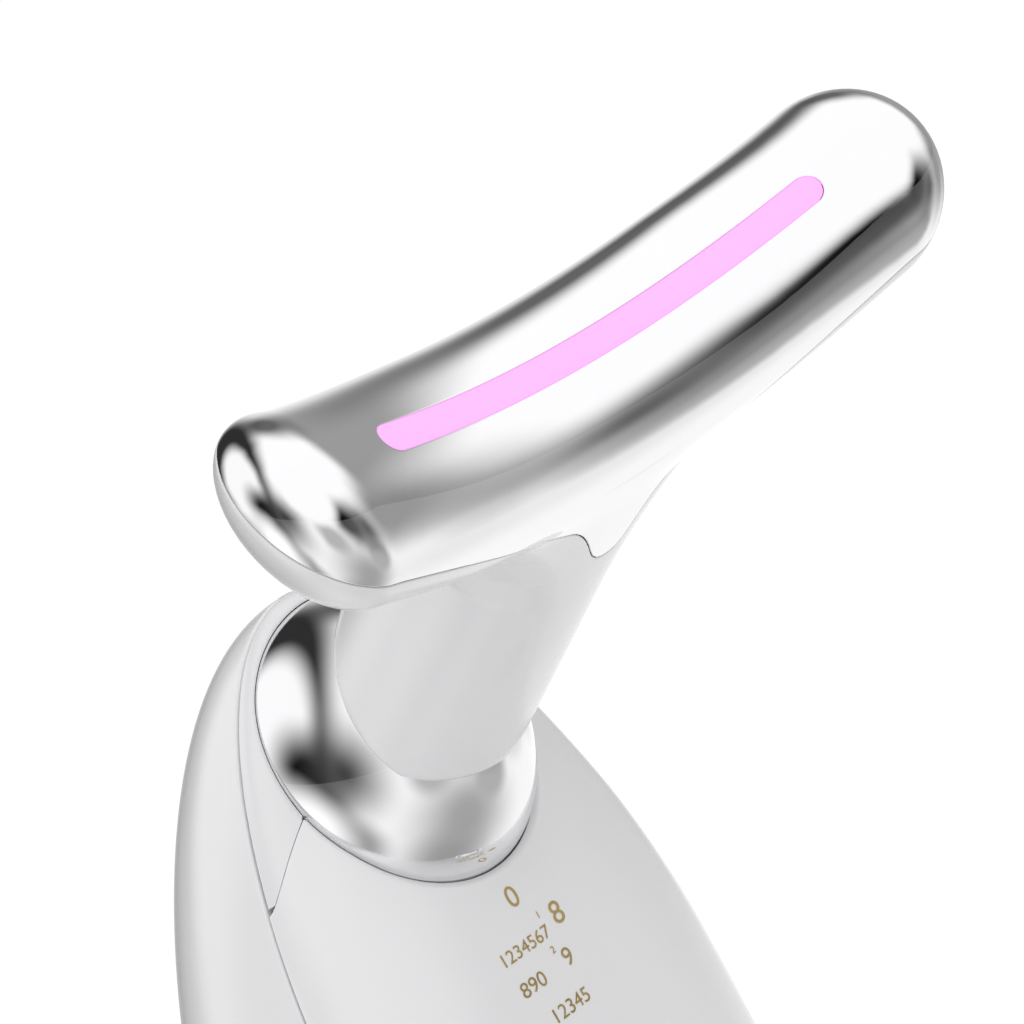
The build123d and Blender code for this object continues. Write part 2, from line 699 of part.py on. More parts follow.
# Ball, with its spigot for the neck, hubs for the pins and the wire port
port_turn = radians(PORT_ANGLE)
port_plane = Plane(
    origin=BALL_CENTRE,
    x_dir=(1, 0, 0),
    z_dir=HANDLE.z_dir * -cos(port_turn) + FRONT.z_dir * -sin(port_turn),
)
ball_hollow = ball_form(grow=-BALL_WALL)
hubs = beside_ball(HUB_RADIUS, PIN_START, BALL_FLAT)
beyond_flats = beside_ball(BALL_RADIUS, BALL_FLAT, HALF_WIDTH)
pin_holes = beside_ball(PIN_RADIUS + SEAT, 0, HALF_WIDTH)
spigot = columns(HEAD, [(0, 0)], SPIGOT_RADIUS, -SPIGOT_ROOT, -SPIGOT_TOP)
spigot_bore = columns(HEAD, [(0, 0)], SPIGOT_RADIUS - SPIGOT_WALL, -SPIGOT_ROOT, 0)
port = columns(port_plane, [(0, 0)], PORT_RADIUS, 0, 2 * BALL_RADIUS)
with BuildPart() as chrome_ball:
    add(ball_outer)
    add(ball_hollow, mode=Mode.SUBTRACT)
    add(hubs)
    add(spigot)
    for room in (beyond_flats, spigot_bore, pin_holes, port):
        add(room, mode=Mode.SUBTRACT)

pins = beside_ball(PIN_RADIUS, PIN_START, PIN_END)
with BuildPart() as pivot_pins:
    add(pins)

washer_start = BALL_FLAT + WASHER_GAP
washers = beside_ball(WASHER_RADIUS, washer_start, washer_start + WASHER_THICK)
washer_holes = beside_ball(PIN_RADIUS + 2 * PIN_FIT, BALL_FLAT, HALF_WIDTH)
with BuildPart() as friction_washers:
    add(washers)
    add(washer_holes, mode=Mode.SUBTRACT)

# Chromed contact plate with the strip's slot
head_outer = head_form()
head_inner = head_form(HEAD_WALL)
plate_shape = common(head_outer, chrome_field())
slot = strip_field(grow=SEAT)
with BuildPart() as contact_plate:
    add(plate_shape)
    add(head_inner, mode=Mode.SUBTRACT)
    add(slot, mode=Mode.SUBTRACT)

# White lower shell of the head, with its lip inside the plate, and the hollow neck
post_places = [(POST_AT, POST_SIDE), (-POST_AT, -POST_SIDE)]
posts = common(
    columns(HEAD, post_places, POST_RADIUS, -NECK_TOP, -BOARD_BELOW - BOARD_THICK),
    head_form(HEAD_WALL / 2),
)
neck_outer = neck_form()
neck_room = neck_form(shell_wall, FOOT_FLOOR)
head_room = head_form(shell_wall)
head_seated = head_form(HEAD_WALL + SEAT)
plate_field = chrome_field(gap=SEAM_GAP)
above_lip = chrome_field(gap=-LIP_RISE)
spigot_room = columns(HEAD, [(0, 0)], SPIGOT_RADIUS + SEAT, -SPIGOT_ROOT, -SPIGOT_TOP)
ball_seat = ball_form(grow=SEAT)
post_holes = columns(
    HEAD, post_places, HEAD_SCREW_RADIUS + SEAT, -BOARD_BELOW - HEAD_SCREW_LENGTH - SEAT, 0
)
with BuildPart() as plate_room:
    add(plate_field)
    add(head_seated, mode=Mode.SUBTRACT)

with BuildPart() as head_and_neck_shell:
    add(head_outer)
    add(neck_outer)
    for room in (head_room, neck_room, above_lip):
        add(room, mode=Mode.SUBTRACT)
    add(posts)
    for room in (plate_room.part, spigot_room, ball_seat, post_holes):
        add(room, mode=Mode.SUBTRACT)

# Strip window, flush with the face, with a flange under the plate
window_body = common(strip_field(), bar_form())
window_flange = common(strip_field(grow=FLANGE_EXTRA), bar_form(HEAD_WALL + SEAT))
window_room = bar_form(HEAD_WALL + FLANGE_THICK)
with BuildPart() as light_window:
    add(window_body)
    add(window_flange)
    add(window_room, mode=Mode.SUBTRACT)

# Light board, its diodes, screws and contact probes
with BuildPart() as light_board:
    with BuildSketch(HEAD.offset(-BOARD_BELOW - BOARD_THICK)):
        RectangleRounded(2 * BOARD_HALF_LENGTH, 2 * BOARD_HALF_WIDTH, BOARD_THICK)
        with Locations(*post_places):
            Circle(HEAD_SCREW_RADIUS + SEAT, mode=Mode.SUBTRACT)
    extrude(amount=BOARD_THICK)

with BuildPart() as light_diodes:
    with BuildSketch(HEAD.offset(-BOARD_BELOW)):
        with GridLocations(LED_PITCH, 0, LED_COUNT, 1):
            Rectangle(LED_LENGTH, LED_WIDTH)
    extrude(amount=LED_THICK)

screw_heads = columns(
    HEAD, post_places, HEAD_SCREW_HEAD, -BOARD_BELOW, HEAD_SCREW_HEAD_THICK - BOARD_BELOW
)
screw_shanks = columns(
    HEAD, post_places, HEAD_SCREW_RADIUS, -BOARD_BELOW - HEAD_SCREW_LENGTH, -BOARD_BELOW
)
with BuildPart() as head_screws:
    add(screw_heads)
    add(screw_shanks)

probe_places = [(PROBE_AT, PROBE_SIDE), (-PROBE_AT, -PROBE_SIDE)]
probe_rods = common(
    columns(HEAD, probe_places, PROBE_RADIUS, -BOARD_BELOW, 0), bar_form(HEAD_WALL + SEAT)
)
with BuildPart() as contact_probes:
    add(probe_rods)

# Vibration motor in its rubber boot, with the half-round weight on its shaft
motor_end = -MOTOR_BELOW - MOTOR_LENGTH
with BuildPart() as vibration_motor:
    with BuildSketch(HEAD.offset(motor_end)):
        Circle(MOTOR_RADIUS)
    extrude(amount=MOTOR_LENGTH)
    with BuildSketch(HEAD.offset(-MOTOR_BELOW)):
        Circle(SHAFT_RADIUS + SHAFT_FIT)
    extrude(amount=-SHAFT_INSIDE - SHAFT_FIT, mode=Mode.SUBTRACT)

boot_cone = neck_length(shell_wall + SEAT, BOOT_BELOW, BOOT_BELOW + BOOT_LENGTH)
with BuildPart() as motor_boot:
    add(boot_cone)
    with BuildSketch(HEAD.offset(motor_end)):
        Circle(MOTOR_RADIUS + SEAT)
    extrude(amount=MOTOR_LENGTH, mode=Mode.SUBTRACT)

with BuildPart() as motor_weight:
    with BuildSketch(HEAD.offset(WEIGHT_LIFT - MOTOR_BELOW)):
        Circle(WEIGHT_RADIUS)
        with Locations((0, WEIGHT_RADIUS)):
            Rectangle(2 * WEIGHT_RADIUS, 2 * WEIGHT_RADIUS, mode=Mode.SUBTRACT)
        Circle(WEIGHT_HUB)
        Circle(SHAFT_RADIUS, mode=Mode.SUBTRACT)
    extrude(amount=WEIGHT_LENGTH)

with BuildPart() as motor_shaft:
    with BuildSketch(HEAD.offset(-MOTOR_BELOW - SHAFT_INSIDE)):
        Circle(SHAFT_RADIUS)
    extrude(amount=SHAFT_INSIDE + SHAFT_ABOVE)

# Names and files
pieces = {
    "hood": hood,
    "front_cover": front_cover,
    "back_shell": back_shell,
    "base_cap": base_cap,
    "base_pad": base_pad,
    "chassis": chassis,
    "chassis_screws": chassis_screws,
    "main_board": main_board,
    "battery_tray": battery_tray,
    "battery_foam": battery_foam,
    "battery": battery,
    "button_switch": button_switch,
    "mode_lamps": mode_lamps,
    "light_guides": light_guides,
    "power_button": power_button,
    "charging_socket": charging_socket,
    "charging_board": charging_board,
    "chrome_ball": chrome_ball,
    "pivot_pins": pivot_pins,
    "friction_washers": friction_washers,
    "contact_plate": contact_plate,
    "head_and_neck_shell": head_and_neck_shell,
    "light_window": light_window,
    "light_board": light_board,
    "light_diodes": light_diodes,
    "head_screws": head_screws,
    "contact_probes": contact_probes,
    "vibration_motor": vibration_motor,
    "motor_boot": motor_boot,
    "motor_weight": motor_weight,
    "motor_shaft": motor_shaft,
}
os.makedirs("parts", exist_ok=True)
for name, piece in pieces.items():
    piece.part.label = name
    export_step(piece.part, f"parts/{name}.step")
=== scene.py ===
import logging
import math
from collections.abc import Callable
from dataclasses import dataclass
from enum import Enum

import bmesh
import bpy
import numpy as np
from mathutils import Euler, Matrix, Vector


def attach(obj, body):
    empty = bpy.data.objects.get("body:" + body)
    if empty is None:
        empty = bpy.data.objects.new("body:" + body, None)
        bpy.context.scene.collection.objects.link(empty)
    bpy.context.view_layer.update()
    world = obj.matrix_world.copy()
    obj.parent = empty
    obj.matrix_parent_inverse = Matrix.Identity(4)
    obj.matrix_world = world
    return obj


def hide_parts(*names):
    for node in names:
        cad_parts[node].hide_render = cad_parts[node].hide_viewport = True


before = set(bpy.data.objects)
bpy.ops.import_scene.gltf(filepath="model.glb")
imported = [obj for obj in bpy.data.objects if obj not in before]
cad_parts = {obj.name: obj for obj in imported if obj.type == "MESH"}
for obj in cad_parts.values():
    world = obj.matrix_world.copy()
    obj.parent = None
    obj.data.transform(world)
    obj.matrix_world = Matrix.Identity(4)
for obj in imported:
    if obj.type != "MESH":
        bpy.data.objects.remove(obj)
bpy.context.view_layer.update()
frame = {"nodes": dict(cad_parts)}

LOG = logging.getLogger("massager")
MM = 0.001


class Body(Enum):
    """The moving bodies that a piece can ride on."""

    HANDLE = "handle"
    HEAD = "head"


@dataclass(frozen=True)
class Axes:
    """Three axes at right angles, in millimetres, with the place where they start."""

    origin: tuple[float, float, float]
    first: tuple[float, float, float]
    second: tuple[float, float, float]
    third: tuple[float, float, float]

    def points(self, x: np.ndarray, y: np.ndarray, z: np.ndarray) -> np.ndarray:
        """Turn places along the axes into places of the model.

        Args:
            x: Distances along the first axis.
            y: Distances along the second axis.
            z: Distances along the third axis.

        Returns:
            An array whose last side holds the three coordinates, in millimetres.
        """
        x, y, z = np.broadcast_arrays(x, y, z)
        return (
            np.array(self.origin)
            + x[..., None] * np.array(self.first)
            + y[..., None] * np.array(self.second)
            + z[..., None] * np.array(self.third)
        )

    def at(self, local: np.ndarray) -> np.ndarray:
        """Turn an array of places along the axes into places of the model."""
        return self.points(*np.moveaxis(local, -1, 0))

    def way(self, local: np.ndarray) -> np.ndarray:
        """Turn directions along the axes into directions of the model."""
        return self.at(local) - np.array(self.origin)

    def places(self, points: np.ndarray) -> np.ndarray:
        """Turn places of the model back into distances along the three axes."""
        rows = np.array([self.first, self.second, self.third])
        return (points - np.array(self.origin)) @ rows.T


def smoothed(share: np.ndarray) -> np.ndarray:
    """Ease a share from 0 to 1 at both of its ends."""
    return share * share * (3 - 2 * share)


def unit(vectors: np.ndarray) -> np.ndarray:
    """Bring directions to length 1."""
    return vectors / np.maximum(np.linalg.norm(vectors, axis=-1, keepdims=True), 1e-9)


def resampled(run: np.ndarray, along: np.ndarray, where: np.ndarray) -> np.ndarray:
    """Read a run of points or directions at distances along it."""
    return np.stack([np.interp(where, along, run[:, k]) for k in range(3)], -1)


def run_lengths(run: np.ndarray) -> np.ndarray:
    """Distance of each point of a run from its start."""
    return np.r_[0.0, np.cumsum(np.linalg.norm(np.diff(run, axis=0), axis=1))]


LEAN = math.radians(10.0)
HANDLE = Axes(
    (0.0, -5.3, 0.0),
    (1.0, 0.0, 0.0),
    (0.0, math.sin(LEAN), math.cos(LEAN)),
    (0.0, -math.cos(LEAN), math.sin(LEAN)),
)
HEAD = Axes(
    (0.0, -31.0669, 127.41),
    (1.0, 0.0, 0.0),
    (0.0, 0.576432, 0.817145),
    (0.0, -0.817145, 0.576432),
)


@dataclass(frozen=True)
class BallForm:
    """The joint's ball: round about its pivot and narrower along it."""

    up: float = 100.1
    out: float = 0.9
    radius: float = 13.0
    half_width: float = 10.9

    def reach(self, points: np.ndarray, grow: float = 0.0) -> np.ndarray:
        """Say how far points lie from the middle, where 1 is on the ball's surface.

        Args:
            points: Places along the handle's axes.
            grow: A clearance added to the ball, in millimetres.

        Returns:
            One number per point.
        """
        x, up, out = points[..., 0], points[..., 1] - self.up, points[..., 2] - self.out
        wide, round_ = self.half_width + grow, self.radius + grow
        return np.sqrt((x / wide) ** 2 + (up**2 + out**2) / round_**2)

    def clear(self, points: np.ndarray, grow: float) -> np.ndarray:
        """Push model points that lie in the ball's room out to its wall."""
        local = HANDLE.places(points)
        reach = self.reach(local, grow)
        middle = np.array([0.0, self.up, self.out])
        moved = middle + (local - middle) / np.minimum(np.maximum(reach, 1e-6), 1.0)[..., None]
        return HANDLE.at(moved)


BALL = BallForm()


@dataclass(frozen=True)
class HandleForm:
    """The egg-shaped handle: a half oval in front of its seam and a fuller one behind it."""

    top: float = 114.3
    widest: float = 75.0
    half_width_most: float = 18.6
    half_width_base: float = 12.6
    depth_most: float = 6.7
    depth_base: float = 6.0
    back_round: float = 1.18
    bulge_top: float = 0.22
    bulge_widest: float = 0.64
    bulge_base: float = 0.28
    fullness: float = 1.8

    def joined(self, up: np.ndarray, base: float, most: float, above: Callable[[np.ndarray], np.ndarray]) -> np.ndarray:
        """A measure that swells in a wave from the base to the widest level, and goes on above.

        Args:
            up: Levels along the handle.
            base: The measure at the base.
            most: The measure at the widest level.
            above: The measure by the share of the way from the widest level to the top.

        Returns:
            The measure at each level.
        """
        high = np.clip((up - self.widest) / (self.top - self.widest), 0.0, 1.0)
        low = np.clip((self.widest - up) / self.widest, 0.0, 1.0)
        below = base + (most - base) * (np.cos(np.pi * low) + 1) / 2
        return np.where(up >= self.widest, above(high), below)

    def half_width(self, up: np.ndarray) -> np.ndarray:
        """Half width of the seam at levels along the handle."""
        most = self.half_width_most
        return self.joined(up, self.half_width_base, most, lambda high: most * np.sqrt(1 - high**self.fullness))

    def depth(self, up: np.ndarray, proud: float = 0.0) -> np.ndarray:
        """How far the front stands out from the seam at levels along the handle."""
        deep = self.depth_most + proud
        return self.joined(up, self.depth_base + proud, deep, lambda high: deep * np.sqrt(1 - high**2))

    def bulge(self, up: np.ndarray) -> np.ndarray:
        """Centre of the back section behind the seam, per half width of the seam."""
        most, fall = self.bulge_widest, self.bulge_top - self.bulge_widest
        return self.joined(up, self.bulge_base, most, lambda high: most + fall * high)

    def front(self, x: np.ndarray, up: np.ndarray, proud: float = 0.0) -> np.ndarray:
        """How far the front surface stands out at a place seen from the front."""
        share = np.clip(np.abs(x) / np.maximum(self.half_width(up), 1e-6), 0.0, 1.0)
        return self.depth(up, proud) * np.sqrt(1 - share**2)

    def front_normals(self, local: np.ndarray, proud: float = 0.0) -> np.ndarray:
        """Outward directions of the front surface at places along the handle's axes."""
        x, up, out = local[..., 0], local[..., 1], local[..., 2]
        step, least = 0.02, 0.05
        up = np.minimum(up, self.top - 3 * step)

        def spans(level: np.ndarray) -> tuple[np.ndarray, np.ndarray]:
            """The oval's half width and depth at a level."""
            return np.maximum(self.half_width(level), least), np.maximum(self.depth(level, proud), least)

        def field(level: np.ndarray) -> np.ndarray:
            """The oval's own measure at a level, 1 on the surface."""
            wide, deep = spans(level)
            return (x / wide) ** 2 + (out / deep) ** 2

        wide, deep = spans(up)
        rise = (field(up + step) - field(up - step)) / (2 * step)
        slope = np.stack([2 * x / wide**2, rise, 2 * out / deep**2], axis=-1)
        return HANDLE.way(unit(slope))


FORM = HandleForm()


def wall_loops(
    path: np.ndarray,
    normals: np.ndarray,
    wall: float,
    start_round: np.ndarray | float,
    end_round: np.ndarray | float,
    steps: int = 5,
) -> np.ndarray:
    """Wrap each column of a surface into a closed section with a wall and rounded rims.

    Args:
        path: Columns of points on the outer surface, columns first, in millimetres.
        normals: The outward direction at each of these points.
        wall: Thickness of the wall.
        start_round: Radius of the rim at the start of each column.
        end_round: Radius of the rim at its end.
        steps: Number of steps in each rounded rim.

    Returns:
        One closed loop of points per column, its last point joined to its first.
    """
    count = path.shape[0]
    start_round = np.broadcast_to(start_round, count)
    end_round = np.broadcast_to(end_round, count)
    turn = np.linspace(0.0, np.pi / 2, steps + 1)
    loops = []
    for points, outward, first, last in zip(path, normals, start_round, end_round):
        along = run_lengths(points)
        length = max(along[-1], 1e-6)
        first, last = min(first, 0.4 * length), min(last, 0.4 * length)
        inner = first + (length - first - last) * along / length
        rim = first * (1 - np.cos(turn))
        tail = length - last * (1 - np.cos(turn))
        distance = np.r_[rim[:-1], inner, tail[:-1][::-1], length, inner[::-1], 0.0]
        depth = np.r_[
            first * (1 - np.sin(turn))[:-1],
            np.zeros_like(inner),
            (last * (1 - np.sin(turn)))[:-1][::-1],
            wall,
            np.full_like(inner, wall),
            wall,
        ]
        way = unit(resampled(outward, along, distance))
        loops.append(resampled(points, along, distance) - way * depth[:, None])
    return np.array(loops)


class Bench:
    """The few hand operations that every piece goes through."""

    @staticmethod
    def clear_selection() -> None:
        """Deselect everything, so that an operator acts on the new piece only."""
        if bpy.context.mode != "OBJECT":
            bpy.ops.object.mode_set(mode="OBJECT")
        bpy.ops.object.select_all(action="DESELECT")

    @staticmethod
    def named(name: str) -> bpy.types.Object:
        """Name the object that an operator has just made, and return it."""
        piece = bpy.context.active_object
        piece.name = piece.data.name = name
        return piece

    @staticmethod
    def pick(piece: bpy.types.Object) -> None:
        """Select one piece and make it the active one."""
        Bench.clear_selection()
        piece.select_set(True)
        bpy.context.view_layer.objects.active = piece

    @staticmethod
    def skin(name: str, loops: np.ndarray, ring: bool = False, around: bool = True) -> bpy.types.Object:
        """Shape a grid primitive into a closed skin through loops of points.

        Args:
            name: The piece's name.
            loops: Points in millimetres, one row per loop.
            ring: Whether the last loop joins the first.
            around: Whether each loop closes on itself.

        Returns:
            The new piece, with its doubles merged and its open ends filled.
        """
        if around:
            loops = np.concatenate([loops, loops[:, :1]], axis=1)
        if ring:
            loops = np.concatenate([loops, loops[:1]], axis=0)
        rows, columns = loops.shape[:2]
        Bench.clear_selection()
        bpy.ops.mesh.primitive_grid_add(x_subdivisions=columns - 1, y_subdivisions=rows - 1, size=1)
        piece = Bench.named(name)
        piece.data.vertices.foreach_set("co", (loops.reshape(-1, 3) * MM).ravel())
        Bench.close(piece)
        return piece

    @staticmethod
    def close(piece: bpy.types.Object, merge: float = 2e-6) -> None:
        """Merge doubles, fill what is open and turn every face outwards."""
        Bench.pick(piece)
        bpy.ops.object.mode_set(mode="EDIT")
        bpy.ops.mesh.select_all(action="SELECT")
        bpy.ops.mesh.remove_doubles(threshold=merge)
        bpy.ops.mesh.dissolve_degenerate(threshold=1e-7)
        bpy.ops.mesh.select_all(action="DESELECT")
        bpy.ops.mesh.select_mode(type="EDGE")
        bpy.ops.mesh.select_non_manifold(extend=False)
        bpy.ops.mesh.fill_holes(sides=0)
        bpy.ops.mesh.select_mode(type="VERT")
        bpy.ops.mesh.select_all(action="SELECT")
        bpy.ops.mesh.normals_make_consistent(inside=False)
        bpy.ops.object.mode_set(mode="OBJECT")

    @staticmethod
    def modify(piece: bpy.types.Object, kind: str, **values: object) -> None:
        """Add a modifier with its values and apply it."""
        Bench.pick(piece)
        modifier = piece.modifiers.new(kind.title(), kind)
        for key, value in values.items():
            setattr(modifier, key, value)
        bpy.ops.object.modifier_apply(modifier=modifier.name)

    @staticmethod
    def smooth(piece: bpy.types.Object, angle: float = 35.0) -> None:
        """Shade a piece smooth, with its sharper edges kept."""
        Bench.pick(piece)
        bpy.ops.object.shade_smooth_by_angle(angle=math.radians(angle))


class Nodes:
    """A short hand for placing and joining shader nodes."""

    def __init__(self, tree: bpy.types.NodeTree) -> None:
        """Start on an emptied tree."""
        self.tree = tree
        tree.nodes.clear()

    def add(self, kind: str, **values: object) -> bpy.types.Node:
        """Place a node with values for its settings."""
        node = self.tree.nodes.new("ShaderNode" + kind)
        for key, value in values.items():
            setattr(node, key, value)
        return node

    def put(self, node: bpy.types.Node, **values: object) -> bpy.types.Node:
        """Set or join inputs by name, with underscores for spaces, or by number as in i0."""
        for key, value in values.items():
            name = int(key[1:]) if key[0] == "i" and key[1:].isdigit() else key.replace("_", " ")
            socket = node.inputs[name]
            if isinstance(value, bpy.types.NodeSocket):
                self.tree.links.new(value, socket)
            else:
                socket.default_value = value
        return node

    def math(self, operation: str, *values: object) -> bpy.types.NodeSocket:
        """Place a Math node and return its result."""
        node = self.add("Math", operation=operation)
        self.put(node, **{f"i{k}": value for k, value in enumerate(values)})
        return node.outputs[0]

    def mixed(self, share: object, first: bpy.types.NodeSocket, second: bpy.types.NodeSocket) -> bpy.types.NodeSocket:
        """Mix two shaders by a share of the second."""
        return self.put(self.add("MixShader"), Fac=share, i1=first, i2=second).outputs[0]


class Group(Nodes):
    """A shared shader node group with its named ends."""

    def __init__(self, name: str, outputs: tuple[str, ...] = ("Mask", "Height"), **inputs: float) -> None:
        """Make the group and its sockets.

        Args:
            name: The group's name.
            outputs: The names of the numbers that it gives.
            inputs: Each number that it takes and its usual value; a Vector is always first.
        """
        super().__init__(bpy.data.node_groups.new(name, "ShaderNodeTree"))
        ends = self.tree.interface
        ends.new_socket("Vector", in_out="INPUT", socket_type="NodeSocketVector")
        for key, value in inputs.items():
            ends.new_socket(key, in_out="INPUT", socket_type="NodeSocketFloat").default_value = value
        for key in outputs:
            ends.new_socket(key, in_out="OUTPUT", socket_type="NodeSocketFloat")
        self.given = self.tree.nodes.new("NodeGroupInput").outputs
        self.results = self.tree.nodes.new("NodeGroupOutput")

    def noise(self, detail: float, roughness: float = 0.5, **ends: bpy.types.NodeSocket) -> bpy.types.NodeSocket:
        """Place a noise along the given Vector at the given Size, or as the named ends say."""
        ends = {"Vector": self.given["Vector"], "Scale": self.given["Size"]} | ends
        return self.put(self.add("TexNoise"), Detail=detail, Roughness=roughness, **ends).outputs[0]

    def give(self, **results: bpy.types.NodeSocket) -> None:
        """Join sockets to the group's named outputs."""
        self.put(self.results, **results)


def handled_gloss() -> None:
    """Faint smudges and polish waves of a handled glossy surface, as a mask and a height."""
    nodes = Group("handled_gloss", Size=60.0, Smudge=0.5)
    broad = nodes.noise(4.0, 0.6)
    fine = nodes.noise(3.0, 0.7, Scale=nodes.math("MULTIPLY", nodes.given["Size"], 9.0))
    patch = nodes.math("MULTIPLY", broad, fine)
    nodes.give(Mask=nodes.math("MULTIPLY", patch, nodes.given["Smudge"]), Height=broad)


def moulded_grain() -> None:
    """The grain of moulded plastic, rubber or foam, as a mask and a height."""
    nodes = Group("moulded_grain", Size=900.0, Depth=1.0)
    cells = nodes.put(nodes.add("TexVoronoi"), Vector=nodes.given["Vector"], Scale=nodes.given["Size"])
    noise = nodes.noise(3.0)
    both = nodes.math("MULTIPLY", cells.outputs["Distance"], noise)
    nodes.give(Mask=noise, Height=nodes.math("MULTIPLY", both, nodes.given["Depth"]))


def drawn_lines() -> None:
    """The fine lines that turning, drawing or brushing leaves on metal."""
    nodes = Group("drawn_lines", Size=400.0, Stretch=20.0)
    parts = nodes.put(nodes.add("SeparateXYZ"), Vector=nodes.given["Vector"]).outputs
    long = nodes.math("DIVIDE", parts["Z"], nodes.given["Stretch"])
    drawn = nodes.put(nodes.add("CombineXYZ"), X=parts["X"], Y=parts["Y"], Z=long)
    noise = nodes.noise(5.0, 0.65, Vector=drawn.outputs[0])
    nodes.give(Mask=noise, Height=noise)


class Surface(Enum):
    """The shared effects that a finish can lie on."""

    HANDLED = "handled_gloss"
    GRAIN = "moulded_grain"
    DRAWN = "drawn_lines"


@dataclass(frozen=True)
class Finish:
    """One finish: its colours, gloss and the effect that varies them."""

    name: str
    colour: tuple[float, float, float]
    second: tuple[float, float, float]
    surface: Surface
    size: float
    strength: float
    roughness: tuple[float, float]
    metallic: float = 0.0
    coat: float = 0.0
    bump: float = 0.05
    specular: float = 0.5
    subsurface: float = 0.0
    glow: tuple[float, float, float] | None = None
    glow_strength: float = 0.0

    def material(self) -> bpy.types.Material:
        """Build the finish as a procedural material, or return it if it is there."""
        made = bpy.data.materials.get(self.name)
        if made is not None:
            return made
        made = bpy.data.materials.new(self.name)
        made.use_nodes = True
        made.diffuse_color = (*self.colour, 1.0)
        nodes = Nodes(made.node_tree)
        where = nodes.add("TexCoord").outputs["Object"]
        effect = nodes.add("Group")
        effect.node_tree = bpy.data.node_groups[self.surface.value]
        nodes.put(effect, Vector=where, Size=self.size, i2=self.strength)
        rough = nodes.put(
            nodes.add("MapRange"),
            Value=effect.outputs["Mask"],
            To_Min=self.roughness[0],
            To_Max=self.roughness[1],
        )
        shade = nodes.put(
            nodes.add("Mix", data_type="RGBA"),
            Factor=effect.outputs["Mask"],
            i6=(*self.colour, 1.0),
            i7=(*self.second, 1.0),
        )
        bump = nodes.put(
            nodes.add("Bump"),
            Height=effect.outputs["Height"],
            Strength=self.bump,
            Distance=0.0002,
        )
        shader = nodes.put(
            nodes.add("BsdfPrincipled"),
            Base_Color=shade.outputs[2],
            Roughness=rough.outputs[0],
            Metallic=self.metallic,
            Normal=bump.outputs[0],
            Coat_Weight=self.coat,
            Coat_Roughness=0.05,
            Specular_IOR_Level=self.specular,
            Subsurface_Weight=self.subsurface,
            Subsurface_Scale=0.002,
        )
        if self.glow is not None:
            nodes.put(shader, Emission_Strength=self.glow_strength, Emission_Color=(*self.glow, 1.0))
        nodes.put(nodes.add("OutputMaterial"), Surface=shader.outputs[0])
        return made


WHITE = Finish(
    "gloss_white", (0.82, 0.82, 0.83), (0.77, 0.77, 0.785), Surface.HANDLED, 45.0, 0.6, (0.16, 0.26), coat=0.4,
    bump=0.02,
)
HOOD_WHITE = Finish(
    "hood_white", (0.79, 0.79, 0.80), (0.74, 0.74, 0.755), Surface.HANDLED, 50.0, 0.6, (0.14, 0.24), coat=0.4,
    bump=0.02,
)
NECK_WHITE = Finish(
    "milky_white", (0.80, 0.80, 0.81), (0.74, 0.74, 0.76), Surface.HANDLED, 55.0, 0.6, (0.2, 0.3), coat=0.3,
    bump=0.02,
)
CHROME = Finish(
    "bright_chrome", (0.90, 0.90, 0.91), (0.84, 0.84, 0.86), Surface.HANDLED, 70.0, 0.4, (0.03, 0.09),
    metallic=1.0, bump=0.004,
)
GOLD = Finish(
    "gold_print", (0.72, 0.50, 0.17), (0.80, 0.62, 0.30), Surface.GRAIN, 1500.0, 1.0, (0.25, 0.4), metallic=0.9
)
BASE_RUBBER = Finish(
    "base_rubber", (0.09, 0.09, 0.095), (0.13, 0.13, 0.135), Surface.GRAIN, 1400.0, 1.0, (0.7, 0.9), bump=0.4
)
BOOT_RUBBER = Finish(
    "boot_rubber", (0.012, 0.012, 0.013), (0.03, 0.03, 0.032), Surface.GRAIN, 1800.0, 1.0, (0.6, 0.85), bump=0.35
)
FRAME_GREY = Finish(
    "frame_grey", (0.045, 0.048, 0.055), (0.07, 0.073, 0.08), Surface.GRAIN, 1100.0, 1.0, (0.45, 0.65), bump=0.25
)
BOARD_GREEN = Finish(
    "board_green", (0.006, 0.085, 0.035), (0.02, 0.14, 0.06), Surface.DRAWN, 700.0, 6.0, (0.25, 0.4), coat=0.3,
    bump=0.1,
)
CELL_FOIL = Finish(
    "cell_foil", (0.50, 0.51, 0.54), (0.60, 0.61, 0.64), Surface.DRAWN, 300.0, 3.0, (0.3, 0.5), metallic=0.8,
    bump=0.3,
)
FOAM = Finish("foam", (0.02, 0.02, 0.022), (0.05, 0.05, 0.052), Surface.GRAIN, 2600.0, 1.0, (0.9, 1.0), bump=0.9)
STEEL = Finish(
    "turned_steel", (0.42, 0.42, 0.44), (0.55, 0.55, 0.57), Surface.DRAWN, 900.0, 25.0, (0.2, 0.38), metallic=1.0,
    bump=0.08,
)
WEIGHT = Finish(
    "sintered_weight", (0.17, 0.17, 0.19), (0.26, 0.26, 0.28), Surface.GRAIN, 2500.0, 1.0, (0.35, 0.55),
    metallic=1.0, bump=0.2,
)
CAN = Finish(
    "drawn_can", (0.48, 0.48, 0.50), (0.60, 0.60, 0.62), Surface.DRAWN, 800.0, 30.0, (0.15, 0.3), metallic=1.0,
    bump=0.06,
)
SWITCH = Finish(
    "switch_black", (0.008, 0.008, 0.01), (0.02, 0.02, 0.022), Surface.GRAIN, 1500.0, 1.0, (0.35, 0.5), bump=0.15
)
LAMP = Finish(
    "lamp_yellow", (0.90, 0.68, 0.25), (0.95, 0.80, 0.45), Surface.HANDLED, 300.0, 0.6, (0.1, 0.2), coat=0.6,
    glow=(1.0, 0.8, 0.4), glow_strength=0.15,
)
GUIDE = Finish(
    "clear_guide", (0.78, 0.81, 0.85), (0.84, 0.86, 0.89), Surface.HANDLED, 200.0, 0.5, (0.04, 0.12), coat=0.5,
    subsurface=0.4,
)
